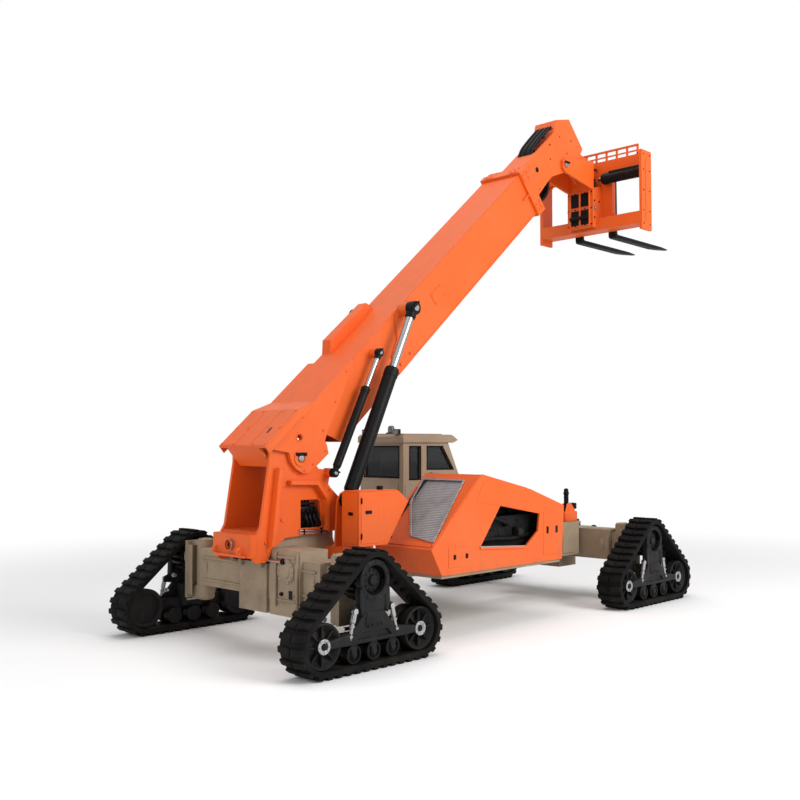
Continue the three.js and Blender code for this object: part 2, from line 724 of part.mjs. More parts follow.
function carriageFrame() {
  const [x, z] = tiltPin;
  const face = x + couplerReach;
  const back = carriageBack;
  const hanger = [[x - 90, z - 60], [x, z - 120], [face - 60, z - 257], [face + 40, z - 257],
    [face + 40, z + 238], [x, z + 120], [x - 90, z + 60]];
  const couplerWeb = [[face, bottomRailTop - 160], [back + 20, bottomRailTop - 160],
    [back + 20, bottomRailTop - 20], [railBack + 20, bottomRailTop - 20],
    [railBack + 20, z - 140], [face, z - 240]];
  const tiltLug = [[tiltEye[0] - 70, tiltEye[1] + 30], [tiltEye[0], tiltEye[1] - 80],
    [face + 20, z - 140], [railBack + 20, z - 140], [railBack + 20, carriageTop - 60],
    [tiltEye[0], tiltEye[1] + 80]];
  const parts = [
    block(railBack, carriageFront, carriageRight, carriageLeft, topRailUnder, carriageTop),
    block(back, carriageFront, carriageRight, carriageLeft, bottomRailUnder,
      bottomRailTop),
    block(back, carriageFront, carriageRight, carriageRight + carriageSide, carriageBottom,
      carriageTop),
    block(back, carriageFront, carriageLeft - carriageSide, carriageLeft, carriageBottom,
      carriageTop),
    block(railBack, carriageFront, -460, -200, bottomRailTop - 10, carriageTop - 20),
    block(railBack, carriageFront, 200, 330, bottomRailTop - 10, carriageTop - 20),
    block(railBack, railBack + 40, -380, 270, bottomRailTop - 10, topRailUnder + 10),
    block(face, face + 40, -couplerInner - 5, couplerInner + 5, z - 257, z + 238),
    block(face, face + 40, -couplerInner - couplerPlate, couplerInner + couplerPlate,
      bottomRailTop - 160, z - 240),
  ];
  [1, -1].forEach((side) => {
    const span = (a, b) => [side * a, side * b].sort((p, q) => p - q);
    parts.push(sideSlab(hanger, ...span(couplerInner, couplerInner + couplerPlate)));
    parts.push(sideSlab(couplerWeb, ...span(couplerInner, couplerInner + couplerPlate)));
    parts.push(sideSlab(tiltLug, ...span(tiltEyeHalf, tiltEyeHalf + couplerPlate)));
  });
  return cut(join(...parts), barAcross(tiltPinRadius + runningFit, -400, 400, x, z));
}
add(machine, "carriage_frame", carriageFrame(), orange);
add(machine, "tilt_pin", barAcross(tiltPinRadius, -couplerInner - couplerPlate - washer,
  couplerInner + couplerPlate + washer, ...tiltPin), chrome);

// the cylinder that shifts the forks sideways lies under the top rail
const shiftX = carriageBack + 106;
const shiftZ = topRailUnder - shiftRadius - 8;
add(machine, "side_shift_cylinder", join(
  barAcross(shiftRadius, carriageRight + carriageSide + seat, -couplerInner - couplerPlate
    - 60, shiftX, shiftZ),
  barAcross(shiftRadius * 0.45, -couplerInner - couplerPlate - 70,
    -couplerInner - couplerPlate - seat, shiftX, shiftZ, 14),
), steelDark);

const forkFaceX = carriageFront + seat;
[1, -1].forEach((side) => {
  const middle = forkMiddle + (side * forkSpacing) / 2;
  const heelZ = carriageBottom - 5;
  const tip = forkFaceX + forkThickness + forkLength;
  const profile = [[forkFaceX, heelZ], [tip - 400, heelZ],
    [tip, heelZ + forkThickness - 14], [tip, heelZ + forkThickness],
    [forkFaceX + forkThickness, heelZ + forkThickness],
    [forkFaceX + forkThickness, carriageTop - 20], [forkFaceX, carriageTop - 20]];
  add(machine, `fork_${side > 0 ? "left" : "right"}`,
    sideSlab(profile, middle - forkWidth / 2, middle + forkWidth / 2), steelDark);
});

// low guard rack on the carriage's top rail
function guardRack() {
  const x = carriageFront - railDepth / 2;
  const right = carriageRight + 210;
  const left = carriageLeft - 210;
  const gaps = 8;
  const post = 30;
  const parts = [block(x - 20, x + 20, right, left, carriageTop + 160, carriageTop + 190),
    block(x - 15, x + 15, right, left, carriageTop + 70, carriageTop + 90)];
  for (let k = 0; k <= gaps; k++) {
    const y = right + (k * (left - right - post)) / gaps;
    parts.push(block(x - 15, x + 15, y, y + post, carriageTop + seat, carriageTop + 170));
  }
  return join(...parts);
}
add(machine, "carriage_guard", guardRack(), orange);

// ---------------------------------------------------------------- hydraulic cylinders
// A barrel and its rod between two pins of the side view. The barrel's eye reaches base to
// each side, and the rod's reaches half.
function cylinder(name, { from, to, middle, radius, rodRadius, barrel, eye, base, half,
  retract }) {
  const shaft = new THREE.Group();
  shaft.position.set(from[0], middle, from[1]);
  shaft.rotation.y = -Math.atan2(to[1] - from[1], to[0] - from[0]);
  machine.add(shaft);
  const length = Math.hypot(to[0] - from[0], to[1] - from[1]);
  const neck = radius * 0.55;
  const boreStart = eye + 45;
  const body = join(barAcross(eye, -base, base, 0, 0, 16),
    barAlong(neck, 0, eye + 30, 0, 0, 16),
    barAlong(radius, eye + 25, barrel, 0, 0, 20));
  const bore = barAlong(rodRadius + slip, boreStart, barrel + 10, 0, 0, 16);
  add(shaft, `${name}_barrel`, cut(body, bore), steelDark);
  const rod = barAlong(rodRadius, boreStart + retract + 8, length, 0, 0, 16);
  add(shaft, `${name}_rod`, join(rod, barAcross(eye, -half, half, length, 0, 16)), chrome);
}
const liftTop = fromBoom(liftPinAlong, liftPinAcross);
const slaveTop = fromBoom(slavePinAlong, slavePinAcross);
[1, -1].forEach((side) => {
  cylinder(`lift_cylinder_${side > 0 ? "left" : "right"}`, {
    from: [liftBaseX, liftBaseZ], to: liftTop, middle: side * liftMiddle,
    radius: liftRadius, rodRadius: liftRodRadius, barrel: liftBarrel, eye: liftEye,
    base: liftEyeHalf, half: liftEyeHalf, retract: liftRetract,
  });
});
cylinder("levelling_cylinder", {
  from: [slaveBaseX, slaveBaseZ], to: slaveTop, middle: -slaveMiddle,
  radius: slaveRadius, rodRadius: slaveRodRadius, barrel: slaveBarrel, eye: slaveEye,
  base: slaveEyeHalf, half: slaveEyeHalf, retract: slaveRetract,
});
cylinder("tilt_cylinder", {
  from: fromBoom(tiltBaseAlong, tiltBaseAcross), to: tiltEye, middle: 0,
  radius: tiltRadius, rodRadius: tiltRodRadius, barrel: tiltBarrel, eye: tiltEyeRadius,
  base: headPlateInner - slip, half: tiltEyeHalf - slip, retract: tiltRetract,
});

// ---------------------------------------------------------------- hood, engine and box
add(machine, "engine_block", block(-650, 850, -1230, -560, deckTop, 1480), castGrey);
const hoodOutline = [[-1400, deckTop], [1220, deckTop], [1280, 1580], [430, 1850],
  [-600, 2070], [-1600, 1150]];
const hoodInside = [[-1370, deckTop - 10], [1190, deckTop - 10], [1248, 1557],
  [425, 1819], [-588, 2035], [-1560, 1142]];
const hoodSideOpening = [[-650, 1100], [330, 1040], [640, 1250], [680, 1490], [-210, 1640]];
const grilleOpening = [[-1370, 1240], [-930, 1290], [-520, 1690], [-460, 1985],
  [-1190, 1985]];
const hood = cut(
  sideSlab(hoodOutline, hoodRight, hoodLeft),
  sideSlab(hoodInside, hoodRight + hoodWall, hoodLeft - hoodWall),
  sideSlab(hoodSideOpening, hoodRight - 10, hoodRight + hoodWall + 10),
  frontSlab(grilleOpening, -1700, -520),
);
add(machine, "engine_hood", hood, orange);

const boxRear = rearAxleX + 600;
const sideBoxOutline = [[boxRear, 1225], [boxRear + 490, 1225], [boxRear + 870, 1750],
  [boxRear + 680, 1890], [boxRear, 1890]];
add(machine, "side_box", join(sideSlab(sideBoxOutline, -1000, -690),
  block(boxRear + 290, boxRear + 480, -760, -frameHalfWidth - seat, 930, 990),
  block(boxRear + 290, boxRear + 480, -760, -700, 930, 1240)), orange);

// ---------------------------------------------------------------- lift cylinder brackets
[1, -1].forEach((side) => {
  const [a, b] = [liftMiddle - liftEyeHalf - slip, liftMiddle + liftEyeHalf + slip];
  const lugs = [[a - liftLug, a], [b, b + liftLug]].map((pair) => {
    const span = pair.map((v) => side * v).sort((p, q) => p - q);
    return sideSlab([[liftBaseX - 150, 1150], [liftBaseX + 60, 1150],
      [liftBaseX + 60, 1199], [liftBaseX + 60, 1650], [liftBaseX + 95, liftBaseZ + 20],
      [liftBaseX + 40, liftBaseZ + 95], [liftBaseX - 40, liftBaseZ + 95],
      [liftBaseX - 110, liftBaseZ]], ...span);
  });
  const foot = [frameHalfWidth + seat, b + liftLug].map((v) => side * v).sort((p, q) => p - q);
  add(machine, `lift_bracket_${side > 0 ? "left" : "right"}`, join(...lugs,
    block(liftBaseX - 150, liftBaseX + 60, ...foot, 1050, 1190)), orange);
});

// ---------------------------------------------------------------- front fittings
add(machine, "front_bracket", join(
  block(frontAxleX - 660, frontAxleX - 320, -690, -560, frontCrossTop + seat,
    frontCrossTop + 160),
  barUp(38, frontCrossTop + 100, 1762, frontAxleX - 540, -625, 16),
), orange);

// ---------------------------------------------------------------- cab
const doorPinX = 413;
const doorPinY = cabLeft + 17;
const hingeRadius = 13;
const hingeHalf = 45; // height of each hinge's fixed half
const hingeHeights = [1190, 2250];
const cabOutline = [[cabRear, cabFloorTop - cabFloor], [1250, cabFloorTop - cabFloor],
  [1300, 1500], [cabFront, 1985], [1120, cabRoofUnder], [cabRear, cabRoofUnder]];
const doorOutline = [[420, cabFloorTop + 20], [1150, cabFloorTop + 20], [1190, 1500],
  [1262, 1960], [1062, windowTop], [420, windowTop]];
const sideWindows = {
  rear_quarter_glass: [[225, 1925], [475, 1925], [475, windowTop], [225, windowTop]],
  right_glass: [[622, 2078], [1245, 2068], [985, windowTop], [622, windowTop]],
};
add(machine, "cab_right_wall", cut(sideSlab(cabOutline, cabRight, cabRight + cabWall),
  ...Object.values(sideWindows).map((points) =>
    sideSlab(points, cabRight - 5, cabRight + cabWall + 5))), tan);

const hingeLeaves = hingeHeights.map((z) => join(
  block(doorPinX - 25, doorPinX, cabLeft - 5, doorPinY + 8, z, z + hingeHalf),
  barUp(hingeRadius, z, z + hingeHalf, doorPinX, doorPinY, 12)));
add(machine, "cab_left_frame", cut(
  join(sideSlab(cabOutline, cabLeft - cabWall, cabLeft), ...hingeLeaves),
  sideSlab(doorOutline, cabLeft - cabWall - 5, cabLeft + 5)), tan);

// The cab's two cross walls stand between its sides, each with a window.
const cabAcross = [cabRight + cabWall + seat, cabLeft - cabWall - seat];
const crossWindow = (sill) => [[cabRight + 90, sill], [cabLeft - 90, sill],
  [cabLeft - 90, windowTop], [cabRight + 90, windowTop]];
const floorUnder = cabFloorTop - cabFloor;
add(machine, "cab_rear_wall", cut(
  block(cabRear, cabRear + cabWall, ...cabAcross, floorUnder, cabRoofUnder),
  frontSlab(crossWindow(1955), cabRear - 5, cabRear + cabWall + 5)), tan);
const frontInside = [[1195, floorUnder], [1195, cabFloorTop], [1242, 1500], [1312, 1975],
  [1078, cabRoofUnder]];
const frontOutside = cabOutline.slice(1, 5);
add(machine, "cab_front_frame", cut(
  sideSlab([...frontOutside, ...frontInside.reverse()], ...cabAcross),
  frontSlab(crossWindow(1560), 1085, cabFront + 60)), tan);
add(machine, "cab_platform", join(
  block(cabRear - 60, 1260, frameHalfWidth + seat, cabLeft, 900, floorUnder - seat),
  block(cabRear + cabWall + seat, 1195 - seat, ...cabAcross, floorUnder - 5, cabFloorTop),
), tan);
const roofOutline = [[cabRear - 30, cabRoofUnder + seat], [1210, cabRoofUnder + seat],
  [1330, 2535], [1185, cabRoofTop - 4], [1100, cabRoofTop], [cabRear + 20, cabRoofTop],
  [cabRear - 30, cabRoofTop - 40]];
add(machine, "cab_roof", sideSlab(roofOutline, cabRight - 30, cabLeft + 30), tan);

// A convex outline moved inwards by a distance; its points run counter-clockwise.
function inset(points, distance) {
  const edges = points.map(([x, z], i) => {
    const [nextX, nextZ] = points[(i + 1) % points.length];
    const length = Math.hypot(nextX - x, nextZ - z);
    const [dx, dz] = [(nextX - x) / length, (nextZ - z) / length];
    return { x: x - dz * distance, z: z + dx * distance, dx, dz };
  });
  return edges.map((edge, i) => {
    const before = edges[(i + edges.length - 1) % edges.length];
    const turn = before.dx * edge.dz - before.dz * edge.dx;
    const t = ((edge.x - before.x) * edge.dz - (edge.z - before.z) * edge.dx) / turn;
    return [before.x + before.dx * t, before.z + before.dz * t];
  });
}

const doorGap = 6;
const doorThickness = 46;
const doorLeaf = inset(doorOutline, doorGap);
const doorWindow = [[480, 1560], [1146, 1560], [1194, 1945], [1018, windowTop - 66],
  [480, windowTop - 66]];
const doorYs = [cabLeft - doorThickness, cabLeft];
add(machine, "cab_door", join(
  cut(sideSlab(doorLeaf, ...doorYs),
    sideSlab(doorWindow, doorYs[0] - 5, doorYs[1] + 5)),
  block(1080, 1140, cabLeft - 5, cabLeft + 30, 1500, 1520),
  ...hingeHeights.map((z) => join(
    block(doorPinX, doorPinX + 60, cabLeft + 6, doorPinY + 8, z + hingeHalf + slip,
      z + 2 * hingeHalf),
    block(doorPinX + 25, doorPinX + 60, cabLeft - 5, cabLeft + 8, z + hingeHalf + slip,
      z + 2 * hingeHalf),
    barUp(hingeRadius, z + hingeHalf + slip, z + 2 * hingeHalf, doorPinX, doorPinY, 12))),
), tan);

const paneDepth = cabWall / 2;
add(machine, "door_glass", sideSlab(inset(doorWindow, seat), cabLeft - paneDepth,
  cabLeft - paneDepth + glassThickness), glass);
Object.entries(sideWindows).forEach(([name, points]) => {
  add(machine, name, sideSlab(inset(points, seat), cabRight + paneDepth,
    cabRight + paneDepth + glassThickness), glass);
});
const crossPane = [cabRight + 90 + seat, cabLeft - 90 - seat];
add(machine, "rear_glass", block(cabRear + paneDepth, cabRear + paneDepth + glassThickness,
  ...crossPane, 1955 + seat, windowTop - seat), glass);
add(machine, "windscreen", sideSlab([[1289, 1560 + seat], [1354, 1985],
  [1129, windowTop - seat], [1129 - glassThickness, windowTop - seat],
  [1354 - glassThickness, 1982], [1289 - glassThickness, 1560 + seat]], ...crossPane),
  glass);

const cabMiddle = (cabRight + cabLeft) / 2;
add(machine, "seat_base", join(
  block(330, 760, cabMiddle - 190, cabMiddle + 190, cabFloorTop + seat, 1180),
  block(400, 690, cabMiddle - 130, cabMiddle + 130, 1170, 1400)), steelDark);
add(machine, "seat_cushion", block(300, 830, cabMiddle - 240, cabMiddle + 240,
  1400 + seat, 1510), fabricBlack);
add(machine, "seat_backrest", sideSlab([[300, 1510 + seat], [410, 1510 + seat],
  [330, 2120], [240, 2120]], cabMiddle - 230, cabMiddle + 230), fabricBlack);
const wheelRim = new THREE.TorusGeometry(190, 16, 8, 24);
wheelRim.rotateY(-58 * degrees);
wheelRim.translate(985, cabMiddle, 1770);
add(machine, "steering_wheel", join(solid(wheelRim),
  barSloping(22, [1090, 1577], [985, 1770], cabMiddle, 0, 235, 10),
  block(960, 1010, cabMiddle - 195, cabMiddle + 195, 1755, 1785),
  block(1040, 1160, cabMiddle - 60, cabMiddle + 60, cabFloorTop + seat, 1620)), steelDark);

// the screen that fills the opening in the hood's sloping back
const [slopeX, slopeZ] = [1000, 920];
const slopeLength = Math.hypot(slopeX, slopeZ);
function onSlope(z, depth) {
  const t = (z - 1150) / slopeZ;
  return [-1600 + t * slopeX + (depth * slopeZ) / slopeLength,
    z - (depth * slopeX) / slopeLength];
}
const screen = sideSlab([onSlope(1200, 12), onSlope(1200, 18), onSlope(2040, 18),
  onSlope(2040, 12)], -1400, -420);
const screenWindow = frontSlab(inset(grilleOpening, seat), -1700, -500);
add(machine, "radiator_screen", screen.intersect(screenWindow), meshGrey);

export default machine;
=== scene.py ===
import json
from math import atan2, copysign, cos, hypot, pi, radians, sin

import bpy
from mathutils import Matrix, Vector


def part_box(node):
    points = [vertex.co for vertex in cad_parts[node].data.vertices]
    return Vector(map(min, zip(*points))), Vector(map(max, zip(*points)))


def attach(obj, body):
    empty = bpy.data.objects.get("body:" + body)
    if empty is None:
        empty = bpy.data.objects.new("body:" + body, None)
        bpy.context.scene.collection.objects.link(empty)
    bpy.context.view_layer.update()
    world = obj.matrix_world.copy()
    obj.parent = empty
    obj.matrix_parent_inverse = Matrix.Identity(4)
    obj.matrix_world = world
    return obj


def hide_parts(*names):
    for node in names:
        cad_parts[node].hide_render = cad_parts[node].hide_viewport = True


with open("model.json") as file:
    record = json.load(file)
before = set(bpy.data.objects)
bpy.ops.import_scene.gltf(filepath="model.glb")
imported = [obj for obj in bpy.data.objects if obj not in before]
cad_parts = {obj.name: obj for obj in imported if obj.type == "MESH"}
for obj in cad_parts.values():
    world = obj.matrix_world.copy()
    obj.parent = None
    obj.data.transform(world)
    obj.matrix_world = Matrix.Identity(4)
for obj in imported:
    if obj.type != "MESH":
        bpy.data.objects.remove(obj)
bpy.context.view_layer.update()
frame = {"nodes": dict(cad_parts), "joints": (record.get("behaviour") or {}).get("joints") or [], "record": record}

nodes = frame["nodes"]
record = frame["record"]
print("frame loaded:", len(nodes), "nodes")


# Shader maths, written as expressions.
class Field:  # one output of a shader node, as a value that changes over a surface
    def __init__(self, tree, socket=None):
        self.tree = tree
        self.socket = socket

    def node(self, kind, values=None, output=0, stops=None, **settings):
        made = self.tree.nodes.new(kind)
        for name, value in settings.items():
            setattr(made, name, value)
        if stops:
            ramp = made.color_ramp
            while len(ramp.elements) < len(stops):
                ramp.elements.new(0.5)
            for element, (place, color) in zip(ramp.elements, stops):
                element.position = place
                element.color = color
        for name, value in (values or {}).items():
            if isinstance(value, Field):
                self.tree.links.new(value.socket, made.inputs[name])
            else:
                made.inputs[name].default_value = value
        if not len(made.outputs):
            return made
        return Field(self.tree, made.outputs[output])

    def maths(self, operation, first, second=0.0):
        return self.node("ShaderNodeMath", {0: first, 1: second}, operation=operation)

    def __add__(self, other):
        return self.maths("ADD", self, other)

    def __radd__(self, other):
        return self.maths("ADD", other, self)

    def __sub__(self, other):
        return self.maths("SUBTRACT", self, other)

    def __rsub__(self, other):
        return self.maths("SUBTRACT", other, self)

    def __mul__(self, other):
        return self.maths("MULTIPLY", self, other)

    def __rmul__(self, other):
        return self.maths("MULTIPLY", other, self)

    def between(self, low, high):  # 0 below low, 1 above high, smooth in between
        return self.node("ShaderNodeMapRange", {"Value": self, "From Min": low, "From Max": high},
            interpolation_type="SMOOTHSTEP")

    def mix(self, first, second):  # two colours, this value being the share of the second
        return self.node("ShaderNodeMix", {0: self, 6: first, 7: second}, output=2,
            data_type="RGBA")


# Camera, light and floor.
view = {
    "place": (-11.771, -9.677, 2.495),
    "heading": (0.719, 0.694, 0.0432),
    "lens": 44.17,
}
studio = {
    "sky": 0.5,  # strength of the light from all round
    "floor": (0.9, 0.9, 0.9, 1),
    "floorSize": 160,
    "whiteFrom": 5,  # metres out, where the floor starts to turn plain white
    "whiteTo": 15,
    "lamps": {  # place, what it points at, size, power
        "key": ((2, -16, 10), (0, 0, 2.5), 9, 2250),
        "tail": ((-16, -3, 7), (-2, 0, 2), 7, 380),
        "top": ((-2, 1, 18), (0, 0, 1), 12, 1150),
    },
}


def deselectAll():
    if bpy.context.object and bpy.context.object.mode != "OBJECT":
        bpy.ops.object.mode_set(mode="OBJECT")
    bpy.ops.object.select_all(action="DESELECT")


def makeCamera():
    bpy.ops.object.camera_add(location=view["place"])
    camera = bpy.context.object
    camera.name = "camera"
    camera.rotation_euler = Vector(view["heading"]).to_track_quat("-Z", "Y").to_euler()
    camera.data.lens = view["lens"]
    camera.data.sensor_width = 36
    camera.data.clip_end = 300
    bpy.context.scene.camera = camera


def makeLamps():
    for name, (place, target, size, power) in studio["lamps"].items():
        bpy.ops.object.light_add(type="AREA", location=place)
        lamp = bpy.context.object
        lamp.name = name
        lamp.data.size = size
        lamp.data.energy = power
        aim = Vector(target) - Vector(place)
        lamp.rotation_euler = aim.to_track_quat("-Z", "Y").to_euler()


def makeWorld():
    world = bpy.data.worlds.new("studio")
    bpy.context.scene.world = world
    world.use_nodes = True
    tree = world.node_tree
    tree.nodes.clear()
    start = Field(tree)
    rays = start.node("ShaderNodeLightPath").socket.node
    camera, through, gloss = (Field(tree, rays.outputs[name]) for name in ("Is Camera Ray",
        "Is Transmission Ray", "Is Glossy Ray"))
    seen = start.maths("MAXIMUM", start.maths("MAXIMUM", camera, through), gloss * 0.45)
    white = (1, 1, 1, 1)
    soft = start.node("ShaderNodeBackground", {"Color": white, "Strength": studio["sky"]})
    plain = start.node("ShaderNodeBackground", {"Color": white, "Strength": 1})
    mixed = start.node("ShaderNodeMixShader", {0: seen, 1: soft, 2: plain})
    start.node("ShaderNodeOutputWorld", {"Surface": mixed})


def makeFloor():
    bpy.ops.mesh.primitive_plane_add(size=studio["floorSize"], location=(0, 0, -0.002))
    floor = bpy.context.object
    floor.name = "floor"
    material = bpy.data.materials.new("floor")
    material.use_nodes = True
    shader = material.node_tree.nodes["Principled BSDF"]
    shader.inputs["Base Color"].default_value = studio["floor"]
    shader.inputs["Roughness"].default_value = 0.9
    shader.inputs["Specular IOR Level"].default_value = 0.1
    field = Field(material.node_tree)
    place = field.node("ShaderNodeTexCoord", output="Object")
    away = field.node("ShaderNodeVectorMath", {0: place}, output="Value", operation="LENGTH")
    seen = field.node("ShaderNodeLightPath")
    glow = field.node("ShaderNodeEmission", {"Color": (1, 1, 1, 1), "Strength": 1})
    white = away.between(studio["whiteFrom"], studio["whiteTo"]) * seen
    near = Field(material.node_tree, shader.outputs[0])
    mixed = field.node("ShaderNodeMixShader", {0: white, 1: near, 2: glow})
    end = material.node_tree.nodes["Material Output"]
    material.node_tree.links.new(mixed.socket, end.inputs["Surface"])
    floor.data.materials.append(material)


bpy.context.scene.view_settings.view_transform = "Standard"
deselectAll()
makeCamera()
makeWorld()
makeFloor()
makeLamps()
deselectAll()
print("camera, light and floor are set")


# Finishes, and the materials made from them.
# The dust colour, laid thickest on low parts, is partly dust and partly painted shade there, darkening the low
# axles most.
dust = {
    "color": (0.15, 0.115, 0.08, 1),
    "from": 0.1,  # dust and painted shade are thickest at this height
    "to": 1.9,  # no dust or painted shade above this height
}
finishes = {
    "orange_paint": {"kind": "enamel", "color": (0.80, 0.112, 0.010, 1),
                     "faded": (0.74, 0.128, 0.020, 1), "under": (0.10, 0.05, 0.03, 1),
                     "rough": 0.36, "edge": 0.006, "dust": 0.55, "wear": 0.55, "grain": 0.02,
                     "shine": 0.35},
    # the tan paint's dust amount is set high so that it also paints shade over the low axles
    "tan_paint": {"kind": "enamel", "color": (0.345, 0.262, 0.178, 1),
                  "faded": (0.295, 0.222, 0.148, 1), "under": (0.07, 0.05, 0.035, 1),
                  "rough": 0.5, "edge": 0.008, "dust": 0.85, "wear": 0.5, "grain": 0.06,
                  "shine": 0.3},
    "dark_steel": {"kind": "enamel", "color": (0.0025, 0.0025, 0.003, 1),
                   "faded": (0.005, 0.005, 0.0055, 1), "under": (0.16, 0.15, 0.14, 1),
                   "rough": 0.42, "edge": 0.004, "dust": 0.08, "wear": 0.2, "grain": 0.02,
                   "shine": 0.14},
    "cast_grey": {"kind": "enamel", "color": (0.0075, 0.008, 0.009, 1),
                  "faded": (0.013, 0.013, 0.0145, 1), "under": (0.12, 0.11, 0.10, 1),
                  "rough": 0.5, "edge": 0.008, "dust": 0.1, "wear": 0.2, "grain": 0.2,
                  "shine": 0.16},
    "bright_steel": {"kind": "chrome", "color": (0.42, 0.42, 0.43, 1), "rough": 0.22},
    "track_rubber": {"kind": "rubber", "color": (0.0035, 0.0035, 0.0038, 1),
                     "worn": (0.012, 0.0115, 0.011, 1), "rough": 0.62},
    "screen_mesh": {"kind": "mesh", "color": (0.42, 0.42, 0.43, 1),
                    "hole": (0.10, 0.10, 0.105, 1), "pitch": 0.02},
    "tinted_glass": {"kind": "glass", "color": (0.012, 0.014, 0.015, 1), "cover": 0.72},
    "black_fabric": {"kind": "cloth", "color": (0.014, 0.014, 0.015, 1),
                     "thread": (0.035, 0.035, 0.037, 1), "pitch": 0.004},
}


def startMaterial(name):
    material = bpy.data.materials.new(name)
    material.use_nodes = True
    tree = material.node_tree
    field = Field(tree)
    place = field.node("ShaderNodeTexCoord", output="Object")
    return material, field, place, tree.nodes["Principled BSDF"]


def feed(field, shader, values):
    for name, value in values.items():
        if isinstance(value, Field):
            field.tree.links.new(value.socket, shader.inputs[name])
        else:
            shader.inputs[name].default_value = value


def noise(field, place, scale, detail=4.0, rough=0.55):
    return field.node("ShaderNodeTexNoise", {"Vector": place, "Scale": scale, "Detail": detail,
        "Roughness": rough})


def facing(field):  # the surface's own normal and how far it faces up
    flat = field.node("ShaderNodeNewGeometry", output="Normal")
    up = field.node("ShaderNodeSeparateXYZ", {"Vector": flat}, output="Z")
    return flat, up


def edgesOf(field, flat, radius):  # the rounded normal and how much it turns from flat
    rounded = field.node("ShaderNodeBevel", {"Radius": radius}, samples=4)
    turned = field.node("ShaderNodeVectorMath", {0: rounded, 1: flat}, output="Value",
        operation="DOT_PRODUCT")
    return rounded, 1 - turned


def dustAndLowShade(field, place, up, amount):
    height = field.node("ShaderNodeSeparateXYZ", {"Vector": place}, output="Z")
    # darker towards the ground: partly dust and partly painted shade over the low parts
    low = 1 - height.between(dust["from"], dust["to"])
    blots = noise(field, place, 3.5, 8, 0.65).between(0.38, 0.72)
    settled = up.between(0.55, 0.98) * 0.35
    return (low * 0.75 + settled) * blots * amount


def enamel(name, finish):
    material, field, place, shader = startMaterial(name)
    flat, up = facing(field)
    rounded, turned = edgesOf(field, flat, finish["edge"])
    chips = noise(field, place, 14, 8, 0.7).between(0.5, 0.68)
    worn = turned.between(0.02, 0.2) * chips * finish["wear"]
    broad = noise(field, place, 0.8, 5).between(0.4, 0.7)
    paint = broad.mix(finish["color"], finish["faded"])
    # dust, and painted shade that darkens the paint towards the ground
    dustyShaded = dustAndLowShade(field, place, up, finish["dust"])
    streaks = noise(field, field.node("ShaderNodeMapping", {"Vector": place,
        "Scale": (6, 6, 0.35)}), 3, 4).between(0.55, 0.8) * 0.12
    color = worn.mix((dustyShaded + streaks).mix(paint, dust["color"]), finish["under"])
    grain = noise(field, place, 90, 3)
    bump = field.node("ShaderNodeBump", {"Height": grain, "Normal": rounded,
        "Strength": finish["grain"], "Distance": 0.004})
    feed(field, shader, {"Base Color": color, "Normal": bump, "Roughness": dustyShaded * 0.4 + grain
        * 0.08 + finish["rough"], "Specular IOR Level": finish["shine"]})
    return material


def chrome(name, finish):
    material, field, place, shader = startMaterial(name)
    rounded = field.node("ShaderNodeBevel", {"Radius": 0.003}, samples=4)
    film = noise(field, place, 9, 5)
    feed(field, shader, {"Base Color": finish["color"], "Metallic": 1.0, "Normal": rounded,
        "Roughness": film * 0.14 + finish["rough"]})
    return material


def rubber(name, finish):
    material, field, place, shader = startMaterial(name)
    flat, up = facing(field)
    rounded, turned = edgesOf(field, flat, 0.006)
    scuffed = turned.between(0.01, 0.25) * noise(field, place, 20, 6).between(0.35, 0.6)
    base = scuffed.mix(finish["color"], finish["worn"])
    # dust, and a little painted shade towards the ground
    dustyShaded = dustAndLowShade(field, place, up, 0.1)
    skin = noise(field, place, 160, 3)
    bump = field.node("ShaderNodeBump", {"Height": skin, "Normal": rounded, "Strength": 0.25,
        "Distance": 0.003})
    feed(field, shader, {"Base Color": dustyShaded.mix(base, dust["color"]), "Normal": bump,
        "Roughness": skin * 0.2 + finish["rough"], "Specular IOR Level": 0.12})
    return material


def wovenMesh(name, finish):
    material, field, place, shader = startMaterial(name)
    waves = [field.node("ShaderNodeTexWave", {"Vector": place, "Scale": 0.314 / finish["pitch"]},
        output=1, bands_direction=way) for way in ("Y", "Z")]
    wire = field.maths("MAXIMUM", waves[0], waves[1])
    gaps = 1 - wire.between(0.55, 0.75)
    grime = noise(field, place, 5, 6).between(0.4, 0.75) * 0.4
    color = gaps.mix(grime.mix(finish["color"], dust["color"]), finish["hole"])
    bump = field.node("ShaderNodeBump", {"Height": wire, "Strength": 0.6, "Distance": 0.004})
    feed(field, shader, {"Base Color": color, "Normal": bump, "Roughness": 0.55,
        "Metallic": wire * 0.3})
    return material


def glass(name, finish):
    material, field, place, shader = startMaterial(name)
    film = noise(field, place, 2.5, 6).between(0.45, 0.8)
    feed(field, shader, {"Base Color": finish["color"], "Roughness": film * 0.08 + 0.03,
        "Alpha": film * 0.06 + finish["cover"], "Specular IOR Level": 0.5})
    return material


def cloth(name, finish):
    material, field, place, shader = startMaterial(name)
    waves = [field.node("ShaderNodeTexWave", {"Vector": place, "Scale": 0.314 / finish["pitch"]},
        output=1, bands_direction=way) for way in ("X", "Y", "Z")]
    weave = (waves[0] + waves[1] + waves[2]) * 0.333
    rubbed = noise(field, place, 6, 5).between(0.45, 0.75) * 0.5
    color = (weave * 0.6 + rubbed * 0.4).mix(finish["color"], finish["thread"])
    bump = field.node("ShaderNodeBump", {"Height": weave, "Strength": 0.4, "Distance": 0.002})
    feed(field, shader, {"Base Color": color, "Normal": bump, "Roughness": 0.85,
        "Sheen Weight": 0.3})
    return material


